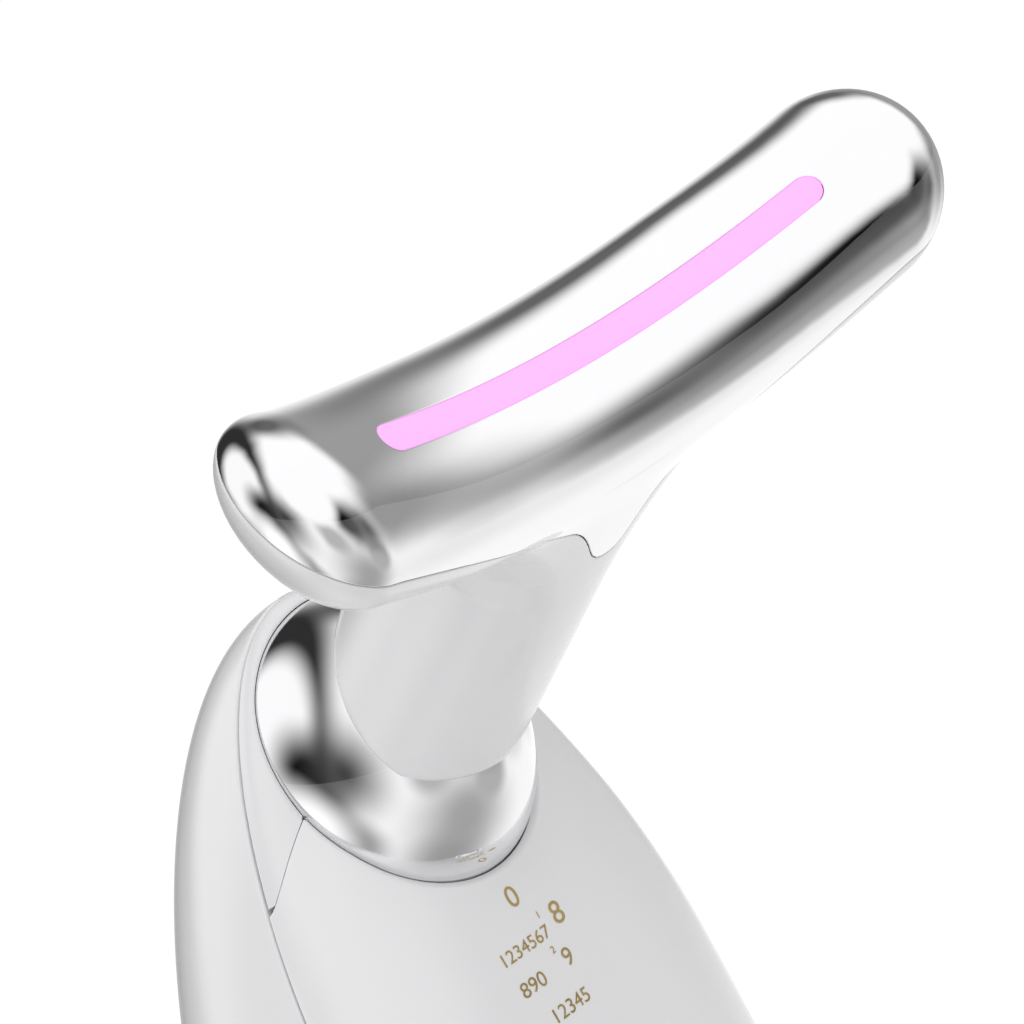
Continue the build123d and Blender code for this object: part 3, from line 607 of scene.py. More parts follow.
WASHER = Finish(
    "slip_washer", (0.80, 0.80, 0.77), (0.72, 0.72, 0.69), Surface.GRAIN, 1600.0, 1.0, (0.35, 0.5), bump=0.1
)
PROBE = Finish(
    "probe_gold", (0.72, 0.46, 0.12), (0.82, 0.58, 0.22), Surface.DRAWN, 1200.0, 20.0, (0.15, 0.28), metallic=1.0,
    bump=0.05,
)
GLOW = Finish(
    "pink_glow", (0.55, 0.18, 0.48), (0.62, 0.24, 0.55), Surface.HANDLED, 90.0, 0.6, (0.45, 0.6), specular=0.1,
    glow=(0.93, 0.40, 0.86), glow_strength=0.9,
)

CARRIED = {
    "base_pad": BASE_RUBBER,
    "chassis": FRAME_GREY,
    "chassis_screws": STEEL,
    "main_board": BOARD_GREEN,
    "battery_tray": FRAME_GREY,
    "battery_foam": FOAM,
    "battery": CELL_FOIL,
    "button_switch": SWITCH,
    "mode_lamps": LAMP,
    "light_guides": GUIDE,
    "charging_socket": STEEL,
    "charging_board": BOARD_GREEN,
    "pivot_pins": STEEL,
    "light_board": BOARD_GREEN,
    "light_diodes": LAMP,
    "head_screws": STEEL,
    "contact_probes": PROBE,
    "vibration_motor": CAN,
    "motor_boot": BOOT_RUBBER,
    "motor_weight": WEIGHT,
    "motor_shaft": STEEL,
    "base_cap": HOOD_WHITE,
    "power_button": CHROME,
}


def settle(piece: bpy.types.Object, finish: Finish, body: Body, slot: str, *nodes: str) -> bpy.types.Object:
    """Dress a finished piece, hang it on the body that it rides on and hide the solids that it stands for.

    Args:
        piece: The piece, in its place.
        finish: Its finish.
        body: The body that it moves with.
        slot: The record's material slot; not used.
        nodes: The solid nodes that it stands for.

    Returns:
        The same piece.
    """
    piece.data.materials.clear()
    piece.data.materials.append(finish.material())
    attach(piece, body.value)
    if nodes:
        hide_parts(*nodes)
    LOG.info("%s rides on %s with %d faces", piece.name, body.value, len(piece.data.polygons))
    return piece


@dataclass(frozen=True)
class Handle:
    """The handle's shells, plain inside: the back shell, the hood and the front cover."""

    wall: float = 1.7
    seam_gap: float = 0.12
    cover_proud: float = 0.9
    draw_in: float = 7.0
    cap_top: float = 2.2
    part_gap: float = 0.02
    part_low: tuple[float, float] = (19.16, 86.5)
    part_bend: tuple[float, float] = (13.39, 97.2)
    part_lip: tuple[float, float] = (9.59, 100.3)
    ball_gap: float = 0.05
    seam_rim: float = 0.3
    hood_turn: float = 32.0
    hood_rims: tuple[float, float, float] = (0.25, 0.4, 0.05)
    cover_rims: tuple[float, float, float] = (0.2, 0.95, 0.08)
    cover_foot: float = 1.6
    cover_turn: float = 89.0
    level_middle: float = 8.5
    level_sides: float = 3.5
    hole_level: float = 60.0
    hole_radius: float = 6.2
    hole_out: float = 8.0
    hole_depth: float = 12.0
    mouth_search: tuple[float, float] = (4.0, 16.0)
    seam_search: tuple[float, float] = (8.0, 26.0)
    lip_search: tuple[float, float] = (60.0, 106.0)

    def shell(
        self, name: str, path: np.ndarray, normals: np.ndarray, start: float, end: np.ndarray | float, steps: int = 5
    ) -> bpy.types.Object:
        """Make one shell behind its outer surface, clear of the ball and above the base cap."""
        loops = BALL.clear(wall_loops(path, normals, self.wall, start, end, steps), self.ball_gap)
        loops[..., 2] = np.maximum(loops[..., 2], self.cap_top + 0.05)
        return Bench.skin(name, loops)

    def back_section(self, up: float, columns: int) -> tuple[np.ndarray, np.ndarray]:
        """Points round the back at a level, from the left seam to the right one.

        Args:
            up: The level along the handle.
            columns: The number of points.

        Returns:
            The points along the handle's axes, and their outward directions there.
        """
        half = float(FORM.half_width(np.array(up)))
        back = float(FORM.bulge(np.array(up))) * half
        round_ = FORM.back_round * half
        wide = half / math.sqrt(1 - (back / max(round_, 1e-6)) ** 2)
        start = math.asin((self.seam_gap - back) / round_)
        turn = np.linspace(start, math.pi - start, columns)
        points = np.stack([-wide * np.cos(turn), np.full(columns, up), -back - round_ * np.sin(turn)], -1)
        outward = np.stack([-np.cos(turn) / wide, np.zeros(columns), -np.sin(turn) / round_], -1)
        return points, unit(outward)

    def back_shell(self) -> bpy.types.Object:
        """The white back shell, closed over the top and open at the base cap."""
        rise = FORM.top - FORM.widest
        low = np.linspace(0.0, FORM.widest, 40)[:-1]
        high = FORM.widest + rise * np.sin(np.radians(np.linspace(0, 88.0, 44)))
        columns = 96
        points, outward = [], []
        for up in np.r_[low, high]:
            section, out = self.back_section(float(up), columns)
            points.append(section)
            outward.append(out)
        points, outward = np.array(points), np.array(outward)
        lean = np.gradient(points, axis=0)
        across = np.gradient(points, axis=1)
        normal = unit(np.cross(across, lean))
        normal *= np.sign(np.sum(normal * outward, axis=-1, keepdims=True))
        piece = self.shell("shell_back", HANDLE.at(points), HANDLE.way(normal), self.seam_rim, self.seam_rim)
        Bench.smooth(piece)
        return piece

    def opening(self, x_way: np.ndarray, up_way: np.ndarray, proud: float) -> np.ndarray:
        """Distance from the ball's middle to where the front surface leaves its room.

        Args:
            x_way: Directions across, seen from the front.
            up_way: Directions along the handle.
            proud: How far the surface stands proud of the hood's.

        Returns:
            One distance per direction.
        """
        reach = np.linspace(*self.mouth_search, 1200)[:, None]
        x, up = reach * x_way, BALL.up + reach * up_way
        inside = np.abs(x) < FORM.half_width(up)
        out = FORM.front(x, up, proud)
        local = np.stack([x, up, out], -1)
        held = (BALL.reach(local, self.ball_gap) < 1.0) & inside
        last = held.shape[0] - 1 - np.argmax(held[::-1], axis=0)
        return reach[last, 0]

    def part_line(self, x: np.ndarray, gap: float = 0.0) -> np.ndarray:
        """Level of the part line between hood and cover at distances from the middle."""
        low = np.array([self.part_low[0], self.part_low[1] + gap])
        bend = np.array([self.part_bend[0], self.part_bend[1] + gap])
        lip = np.array([self.part_lip[0], self.part_lip[1] + gap])
        rows = np.array([bend - low, lip - bend])
        half = np.array([(bend @ bend - low @ low) / 2, (lip @ lip - bend @ bend) / 2])
        centre = np.linalg.solve(rows, half)
        radius = np.linalg.norm(low - centre)
        side = np.clip(np.abs(x) - centre[0], -radius, radius)
        return np.minimum(centre[1] + np.sqrt(radius**2 - side**2), lip[1])

    def hood(self) -> bpy.types.Object:
        """The pale hood that wraps over the ball, with a soft edge round its opening."""
        count, rows = 150, 26
        start = math.radians(self.hood_turn)
        turn = np.linspace(-start, math.pi + start, count)
        x_way, up_way = np.cos(turn), np.sin(turn)
        reach = np.linspace(*self.seam_search, 3000)[:, None]
        x, up = reach * x_way, BALL.up + reach * up_way
        inside = (np.abs(x) < FORM.half_width(np.minimum(up, FORM.top))) & (up < FORM.top)
        seam = reach[inside.shape[0] - 1 - np.argmax(inside[::-1], axis=0), 0]
        mouth = self.opening(x_way, up_way, 0.0)
        span = np.linspace(0.0, 1.0, 1500)[:, None]
        way = seam + (mouth - seam) * span
        x, up = way * x_way, BALL.up + way * up_way
        above = up > self.part_line(x, self.part_gap)
        stop = np.argmax(~above, axis=0)
        share = np.where(np.all(above, axis=0), 1.0, span[np.maximum(stop - 1, 0), 0])
        keep = share > 0.01
        seam, mouth, x_way, up_way, share = (v[keep] for v in (seam, mouth, x_way, up_way, share))
        fine = (np.linspace(0.0, 1.0, rows) ** 1.7)[None, :]
        way = seam[:, None] + ((mouth - seam) * share)[:, None] * fine
        x, up = way * x_way[:, None], BALL.up + way * up_way[:, None]
        out = np.maximum(FORM.front(x, up), self.seam_gap)
        local = np.stack([x, up, out], -1)
        seam_rim, mouth_rim, part_rim = self.hood_rims
        rims = np.where(share > 0.999, mouth_rim, part_rim)
        piece = self.shell("hood_rim", HANDLE.at(local), FORM.front_normals(local), seam_rim, rims)
        Bench.smooth(piece)
        return piece

    def cover_out(self, x: np.ndarray, up: np.ndarray) -> np.ndarray:
        """How far the cover stands out, drawn in to the hood's surface beside the part line."""
        below = np.clip((self.part_line(x) - up) / self.draw_in, 0.0, 1.0)
        beside = np.clip((np.abs(x) - self.level_middle) / self.level_sides, 0.0, 1.0)
        share = 1 - smoothed(beside) * (1 - smoothed(below))
        low, high = FORM.front(x, up), FORM.front(x, up, self.cover_proud)
        return low + (high - low) * share

    def cover(self) -> bpy.types.Object:
        """The front cover, with its rolled lip against the ball and the button's hole."""
        turn = np.radians(np.linspace(-self.cover_turn, self.cover_turn, 141))
        rows = 60
        levels = np.linspace(*self.lip_search, 2400)
        share = np.sin(turn)
        x = FORM.half_width(levels)[:, None] * share
        up = np.broadcast_to(levels[:, None], x.shape)
        out = self.cover_out(x, up)
        local = np.stack([x, up, out], -1)
        free = (BALL.reach(local, self.ball_gap) > 1.0) & (up < self.part_line(x))
        stop = np.argmax(~free, axis=0)
        top = levels[stop - 1]
        hugs = BALL.reach(local, self.ball_gap)[stop, np.arange(len(turn))] < 1.02
        fine = 1 - (1 - np.linspace(0.0, 1.0, rows)) ** 1.35
        up = self.cover_foot + (top - self.cover_foot)[:, None] * fine
        x = FORM.half_width(up) * share[:, None]
        out = np.maximum(self.cover_out(x, up), self.seam_gap)
        local = np.stack([x, up, out], -1)
        seam_rim, lip_rim, part_rim = self.cover_rims
        rims = np.where(hugs, lip_rim, part_rim)
        normal = FORM.front_normals(local, self.cover_proud)
        piece = self.shell("cover_front", HANDLE.at(local), normal, seam_rim, rims, steps=7)
        Bench.clear_selection()
        centre = HANDLE.at(np.array([0.0, self.hole_level, self.hole_out])) * MM
        radius, depth = self.hole_radius * MM, self.hole_depth * MM
        aim = (math.pi / 2 - LEAN, 0, 0)
        bpy.ops.mesh.primitive_cylinder_add(vertices=96, radius=radius, depth=depth, location=centre, rotation=aim)
        drill = bpy.context.active_object
        Bench.modify(piece, "BOOLEAN", object=drill, operation="DIFFERENCE", solver="EXACT")
        bpy.data.objects.remove(drill)
        Bench.smooth(piece)
        return piece

    def build(self) -> None:
        """Make the three shells and dress them."""
        settle(self.back_shell(), WHITE, Body.HANDLE, "white", "back_shell")
        settle(self.hood(), HOOD_WHITE, Body.HANDLE, "grey_white", "hood")
        settle(self.cover(), WHITE, Body.HANDLE, "white", "front_cover")


@dataclass(frozen=True)
class Ball:
    """The bright ball with its flat sides, and the washers against them."""

    flat: float = 10.85
    washer_radius: float = 2.1
    washer_hole: float = 1.3
    washer_end: float = 11.1
    washer_gap: float = 0.02
    washer_ease: float = 0.06

    def build(self) -> None:
        """Turn a sphere about the pivot, flatten its sides and dress it."""
        Bench.clear_selection()
        centre = HANDLE.at(np.array([0.0, BALL.up, BALL.out])) * MM
        bpy.ops.mesh.primitive_uv_sphere_add(segments=144, ring_count=96, radius=1.0)
        piece = Bench.named("ball_bright")
        bpy.ops.object.mode_set(mode="EDIT")
        bpy.ops.mesh.select_all(action="SELECT")
        points = np.array([v.co for v in bmesh.from_edit_mesh(piece.data).verts])
        bpy.ops.object.mode_set(mode="OBJECT")
        turned = np.stack([points[:, 2], points[:, 0], points[:, 1]], -1)
        scale = np.array([BALL.half_width, BALL.radius, BALL.radius]) * MM
        piece.data.vertices.foreach_set("co", (turned * scale + centre).ravel())
        bpy.ops.object.mode_set(mode="EDIT")
        for side in (-1, 1):
            bpy.ops.mesh.select_all(action="SELECT")
            bpy.ops.mesh.bisect(
                plane_co=(side * self.flat * MM, 0, 0), plane_no=(side, 0, 0), use_fill=True, clear_outer=True
            )
        bpy.ops.object.mode_set(mode="OBJECT")
        Bench.close(piece)
        Bench.smooth(piece)
        settle(piece, CHROME, Body.HEAD, "chrome", "chrome_ball")

    def washer(self, name: str, side: int) -> bpy.types.Object:
        """Turn one thin washer about the pivot, its edges eased, against the ball's flat side.

        Args:
            name: The washer's name.
            side: Its side of the ball, -1 or 1.

        Returns:
            The washer's piece.
        """
        inner, outer = self.washer_hole, self.washer_radius
        near, far, ease = self.flat + self.washer_gap, self.washer_end, self.washer_ease
        radii = np.array([inner, inner, inner + ease, outer - ease, outer, outer, outer - ease, inner + ease])
        across = np.array([near + ease, far - ease, far, far, far - ease, near + ease, near, near])
        turn = np.linspace(0.0, 2 * np.pi, 73)[:-1, None]
        up, out = BALL.up + radii * np.cos(turn), BALL.out + radii * np.sin(turn)
        piece = Bench.skin(name, HANDLE.points(side * across + 0 * turn, up, out), ring=True)
        Bench.smooth(piece)
        return piece

    def washers(self) -> None:
        """Make both washers and dress them."""
        left, right = self.washer("washer_left", -1), self.washer("washer_right", 1)
        settle(left, WASHER, Body.HANDLE, "washer_resin", "friction_washers")
        settle(right, WASHER, Body.HANDLE, "washer_resin")


@dataclass(frozen=True)
class HeadForm:
    """The head's outer form: a bar along a saddle, drawn in to a round neck."""

    half_length: float = 32.75
    half_depth: float = 7.45
    half_thick: float = 5.95
    end_round: float = 6.0
    saddle: float = 60.0
    square_middle: float = 2.6
    square_end: float = 2.0
    blend: float = 0.9
    neck_top: float = 20.0
    neck_radius: float = 8.0
    foot_radius: float = 8.45
    foot_drop: float = 52.5
    root_drops: tuple[float, ...] = (2.0, 6.5, 9.5, 13.0, 16.5)
    root_lengths: tuple[float, ...] = (24.0, 21.0, 17.0, 12.0, 9.0)
    root_depths: tuple[float, ...] = (6.8, 7.1, 7.5, 7.8, 7.95)
    root_top: float = 4.0
    square_until: float = 12.0

    @property
    def straight(self) -> float:
        """Half length of the bar between its rounded ends."""
        return self.half_length - self.end_round

    def middle_level(self, x: np.ndarray) -> np.ndarray:
        """Level of the bar's widest line at distances along the head."""
        return x * x / (2 * self.saddle) - self.half_thick

    def power(self, x: np.ndarray) -> np.ndarray:
        """Power of the bar's section: squarer in the middle and oval at the ends."""
        share = np.clip((np.abs(x) - self.square_until) / (self.straight - self.square_until), 0.0, 1.0)
        return self.square_middle + (self.square_end - self.square_middle) * smoothed(share)

    def used(self, x: np.ndarray, y: np.ndarray) -> np.ndarray:
        """The part of the bar's section that a place in plan uses up, from 0 to 1."""
        power = self.power(x)
        past = np.clip((np.abs(x) - self.straight) / self.end_round, 0.0, None)
        return (np.abs(y) / self.half_depth) ** power + past**power

    def face_level(self, x: np.ndarray, y: np.ndarray) -> np.ndarray:
        """Level of the contact face at places in plan."""
        left = np.clip(1 - self.used(x, y), 0.0, 1.0)
        return self.middle_level(x) + self.half_thick * left ** (1 / self.power(x))

    def neck_at(self, level: np.ndarray) -> tuple[np.ndarray, np.ndarray]:
        """Half length and half depth of the root and neck at levels below the face."""
        drops = (*self.root_drops, self.neck_top, self.foot_drop)
        neck = (self.neck_radius, self.foot_radius)
        long = np.interp(-level, drops, self.root_lengths + neck)
        deep = np.interp(-level, drops, self.root_depths + neck)
        return long, deep

    def measure(self, points: np.ndarray) -> np.ndarray:
        """Say how far points lie outside the head, below nought where they are inside.

        Args:
            points: Places along the head's axes.

        Returns:
            One length per point, in millimetres and nearly true close to the surface.
        """
        x, y, level = points[..., 0], points[..., 1], points[..., 2]
        power = self.power(x)
        rise = np.abs(level - self.middle_level(x)) / self.half_thick
        bar = ((self.used(x, y) + rise**power) ** (1 / power) - 1) * self.half_thick
        long, deep = self.neck_at(level)
        root = (np.sqrt((x / long) ** 2 + (y / deep) ** 2) - 1) * deep
        root = np.maximum(root, level + self.root_top)
        share = np.clip(0.5 + 0.5 * (root - bar) / self.blend, 0.0, 1.0)
        return root * (1 - share) + bar * share - self.blend * share * (1 - share)

    def slope(self, points: np.ndarray) -> np.ndarray:
        """Steepness of the measure along the head's axes."""
        step = 0.01
        sides = []
        for axis in range(3):
            move = np.zeros(3)
            move[axis] = step
            sides.append((self.measure(points + move) - self.measure(points - move)) / (2 * step))
        return np.stack(sides, axis=-1)

    def normals(self, points: np.ndarray) -> np.ndarray:
        """Outward directions of the surface, turned into directions of the model."""
        return HEAD.way(unit(self.slope(points)))

    def settle(self, points: np.ndarray) -> np.ndarray:
        """Draw points that lie near the surface on to it."""
        for _ in range(14):
            slope = self.slope(points)
            steep = np.maximum(np.sum(slope * slope, axis=-1), 1e-4)
            move = np.clip(self.measure(points) / steep, -1.5, 1.5)
            points = points - slope * move[..., None]
        return points


SADDLE = HeadForm()


@dataclass(frozen=True)
class Head:
    """The saddle head: a chromed plate with its glowing strip, and a white shell that runs
    down into the neck."""

    slot_half_length: float = 22.0
    slot_half_width: float = 1.15
    strip_gap: float = 0.05
    seam_places: tuple[float, ...] = (0.0, 1.0, 1.6, 2.2, 2.8, 3.7, 4.7, 7.2, 12.0, 17.0, 21.8, 26.3, 29.0, 31.0, 34.0)
    seam_levels: tuple[float, ...] = (
        -15.1, -14.9, -14.3, -13.2, -12.1, -10.9, -10.1, -9.2, -6.7, -4.0, -1.6, 0.6, 1.6, 2.15, 2.6
    )
    seam_ease: float = 0.4
    tongue_half: float = 4.2
    brim_level: float = -10.2
    brim_lift: float = 0.5
    root_level: float = -16.5
    seam_gap: float = 0.1
    wall: float = 1.2
    neck_wall: float = 1.8
    foot_out: float = 11.2
    head_out: float = 47.5
    foot_gap: float = 0.05
    end_turn: float = 60.0
    tongue_columns: tuple[float, ...] = (1.2, 1.08, 0.96, 0.84, 0.72, 0.6, 0.48, 0.36, 0.22, 0.08)
    plate_rims: tuple[float, float] = (0.06, 0.14)
    shell_rims: tuple[float, float] = (0.12, 0.7)
    even_from: float = 8.0
    even_over: float = 8.0
    strip_rows: tuple[tuple[float, float], ...] = (
        (1.0, -1.6), (1.0, -0.07), (0.985, -0.03), (0.93, 0.0), (0.6, 0.02), (0.3, 0.03), (0.0, 0.03)
    )

    def columns(self) -> tuple[np.ndarray, np.ndarray, np.ndarray, np.ndarray]:
        """The columns round the head: front, right end, back and left end in turn.

        Returns:
            For each column its place along the straight sides, the directions across and
            along in which its end rounds off, and its angle round the neck.
        """
        near = self.tongue_half * np.array(self.tongue_columns)
        far = np.linspace(SADDLE.straight, near[0], 24)[:-1]
        side = np.r_[-far, -near, near[::-1], far[::-1]]
        hold, most = math.asin(near[0] / SADDLE.neck_radius), math.radians(self.end_turn)
        rest = np.clip((np.abs(side) - near[0]) / (SADDLE.straight - near[0]), 0.0, 1.0)
        bend = np.arcsin(np.clip(np.abs(side), 0.0, near[0]) / SADDLE.neck_radius)
        bend = np.sign(side) * (bend + (most - hold) * rest)
        turn = np.radians(np.linspace(-90.0, 90.0, 35))[1:-1]
        front = np.stack([side, 0 * side, 0 * side - 1, bend - np.pi / 2])
        right = np.stack([0 * turn + SADDLE.straight, np.cos(turn), np.sin(turn), turn * (1 - most / (np.pi / 2))])
        half = np.concatenate([front, right], axis=1)
        other = half * np.array([[-1.0], [-1.0], [-1.0], [1.0]]) + np.array([[0.0], [0.0], [0.0], [np.pi]])
        return tuple(np.concatenate([half, other], axis=1))

    def capsule(self, half_width: float) -> tuple[np.ndarray, np.ndarray]:
        """The slot's long outline with another half width, as places in plan."""
        place, across, along, _ = self.columns()
        straight = self.slot_half_length - self.slot_half_width
        x = place * straight / SADDLE.straight + across * half_width
        return x, along * half_width

    def seam_level(self, x: np.ndarray) -> np.ndarray:
        """Level of the seam between plate and shell, with its middle tongue."""
        moves = np.linspace(-self.seam_ease, self.seam_ease, 9)
        side = np.abs(np.asarray(x)[..., None] + moves)
        return np.mean(np.interp(side, self.seam_places, self.seam_levels), axis=-1)

    def foot_stop(self, x: np.ndarray, y: np.ndarray) -> np.ndarray:
        """Level at which the neck's surface ends, at its slanted foot or on the ball."""
        out_y = sum(a * b for a, b in zip(HEAD.second, HANDLE.third))
        out_z = sum(a * b for a, b in zip(HEAD.third, HANDLE.third))
        stop = (self.foot_out - self.head_out - out_y * y) / out_z
        levels = np.linspace(-26.0, -48.0, 600)[:, None]
        local = HANDLE.places(HEAD.points(x + 0 * levels, y + 0 * levels, levels + 0 * x))
        touch = BALL.reach(local, self.foot_gap) < 1.0
        first = np.where(touch.any(axis=0), levels[np.argmax(touch, axis=0), 0], -np.inf)
        return np.maximum(stop, first)

    def paths(self) -> np.ndarray:
        """Each column's way from the slot over the head's edge and down to the neck's foot."""
        place, across, along, angle = self.columns()
        slot_x, slot_y = self.capsule(self.slot_half_width)
        wide_x = place + across * SADDLE.end_round
        wide_y = along * SADDLE.half_depth
        out = np.sin(np.linspace(0.0, np.pi / 2, 60))[:, None]
        x, y = slot_x + (wide_x - slot_x) * out, slot_y + (wide_y - slot_y) * out
        face = np.stack([x, y, SADDLE.face_level(x, y)], -1)
        neck_x, neck_y = SADDLE.neck_radius * np.cos(angle), SADDLE.neck_radius * np.sin(angle)
        neck = np.stack([neck_x, neck_y, 0 * angle - SADDLE.neck_top], -1)
        down = np.linspace(0.0, 1.0, 140)[1:, None, None]
        lower = SADDLE.settle(face[-1] + (neck - face[-1]) * down)
        lower = self.eased(lower, place)
        last = lower[-1]
        stop = self.foot_stop(last[:, 0], last[:, 1])
        depth = last[:, 2] + (stop - last[:, 2]) * np.linspace(0.0, 1.0, 60)[1:, None]
        reach, _ = SADDLE.neck_at(depth)
        foot = np.stack([reach * np.cos(angle), reach * np.sin(angle), depth], -1)
        return np.swapaxes(np.concatenate([face, lower, foot]), 0, 1)

    def eased(self, points: np.ndarray, place: np.ndarray) -> np.ndarray:
        """Even out the ways away from the tongue, with every point kept on the surface."""
        share = np.clip((np.abs(place) - self.even_from) / self.even_over, 0.0, 1.0)[None, :, None]
        for _ in range(25):
            along = (points[:-2] + points[2:]) / 2
            beside = (np.roll(points, 1, axis=1) + np.roll(points, -1, axis=1))[1:-1] / 2
            moved = points.copy()
            moved[1:-1] = along * (1 - share / 2) + beside * share / 2
            points = SADDLE.settle(moved)
        return points

    @staticmethod
    def spaced(run: np.ndarray, count: int) -> np.ndarray:
        """Space a run of points evenly along its length."""
        length = run_lengths(run)
        return resampled(run, length, np.linspace(0.0, length[-1], count))

    def split(self, paths: np.ndarray, drop: float, rows: tuple[int, int], upper: bool) -> np.ndarray:
        """Cut each way at the seam and space its points evenly.

        Args:
            paths: The columns' ways.
            drop: How far below the seam to cut.
            rows: The number of points to keep on each way's two runs.
            upper: Whether to keep the part above the cut.

        Returns:
            The cut ways, with the same number of points each.
        """
        parts = []
        for way in paths:
            above = way[:, 2] - self.seam_level(way[:, 0]) + drop
            first = int(np.argmax(above < 0))
            share = above[first - 1] / (above[first - 1] - above[first])
            cut = way[first - 1] + (way[first] - way[first - 1]) * share
            if upper:
                brim = np.maximum(self.seam_level(way[:, 0]), self.brim_level) + self.brim_lift
                knee = min(int(np.argmax(way[:, 2] < brim)), first - 1)
                runs = [way[: knee + 1], np.vstack([way[knee:first], cut])]
            else:
                knee = int(np.argmax(way[:, 2] < self.root_level))
                runs = [np.vstack([cut, way[first : knee + 1]]), way[knee:]]
            upper_run, lower_run = (self.spaced(run, count) for run, count in zip(runs, rows))
            parts.append(np.vstack([upper_run, lower_run[1:]]))
        return np.array(parts)

    def skin(self, name: str, local: np.ndarray, wall: float, rims: tuple[float, float]) -> bpy.types.Object:
        """Make a closed piece with a wall behind columns of the head's surface."""
        loops = wall_loops(HEAD.at(local), SADDLE.normals(local), wall, *rims, steps=4)
        piece = Bench.skin(name, loops, ring=True)
        Bench.smooth(piece, 50.0)
        return piece

    def strip(self) -> bpy.types.Object:
        """The glowing window, flush in its slot."""
        half = self.slot_half_width - self.strip_gap
        loops = []
        for share, sink in self.strip_rows:
            x, y = self.capsule(half * share)
            loops.append(HEAD.points(x, y, x * x / (2 * SADDLE.saddle) + sink))
        piece = Bench.skin("strip_glow", np.array(loops))
        Bench.smooth(piece)
        return piece

    def build(self) -> None:
        """Make the head's pieces and dress them."""
        paths = self.paths()
        above = self.split(paths, 0.0, (72, 16), upper=True)
        below = self.split(paths, self.seam_gap, (56, 56), upper=False)
        plate = self.skin("plate_bright", above, self.wall, self.plate_rims)
        shell = self.skin("shell_neck", below, self.neck_wall, self.shell_rims)
        settle(plate, CHROME, Body.HEAD, "chrome", "contact_plate")
        settle(self.strip(), GLOW, Body.HEAD, "glow", "light_window")
        settle(shell, NECK_WHITE, Body.HEAD, "white", "head_and_neck_shell")


@dataclass(frozen=True)
class Marks:
    """Plain gold numbers printed on the front cover beside the mode lights."""

    proud: float = 0.9
    thick: float = 0.03
    lift: float = 0.01
    type_scale: float = 1.38
    entries: tuple[tuple[str, float, float, float], ...] = (
        ("0", -0.6, 85.85, 1.75),
        ("1", 0.6, 83.6, 0.6),
        ("8", 2.26, 82.83, 1.9),
        ("1234567", -1.9, 82.17, 1.1),
        ("2", 0.14, 80.73, 0.6),
        ("9", 1.02, 79.59, 1.5),
        ("890", -2.95, 79.4, 1.25),
        ("12345", -1.0, 76.4, 1.2),
    )

    def build(self) -> None:
        """Set each number on the cover's curved face and dress it."""
        for index, (text, x, up, size) in enumerate(self.entries):
            Bench.clear_selection()
            bpy.ops.object.text_add()
            item = bpy.context.active_object
            item.data.body = text
            item.data.size = size * self.type_scale
            item.data.align_x, item.data.align_y = "CENTER", "CENTER"
            item.data.resolution_u = 6
            bpy.ops.object.convert(target="MESH")
            item = Bench.named(f"mark_{index + 1}")
            flat = np.array([v.co[:] for v in item.data.vertices])
            along, level = x + flat[:, 0], up + flat[:, 1]
            out = FORM.front(along, level, self.proud) + self.lift
            place = HANDLE.points(along, level, out) * MM
            item.data.vertices.foreach_set("co", place.ravel())
            Bench.modify(item, "SOLIDIFY", thickness=self.thick * MM, offset=1.0)
            Bench.close(item, 1e-7)
            settle(item, GOLD, Body.HANDLE, "gold_metal")


@dataclass(frozen=True)
class PaintedReflection:
    """A painted reflection: a soft round zone on the studio's walls and floor, brighter or darker than the white,
    painted where only polished surfaces show it.
    """

    around: float
    up: float
    full: float
    faded: float
    level: float

    @property
    def way(self) -> tuple[float, float, float]:
        """Direction from the object to the middle of the painted zone."""
        turn, rise = math.radians(self.around), math.radians(self.up)
        return math.sin(turn) * math.cos(rise), math.cos(turn) * math.cos(rise), math.sin(rise)


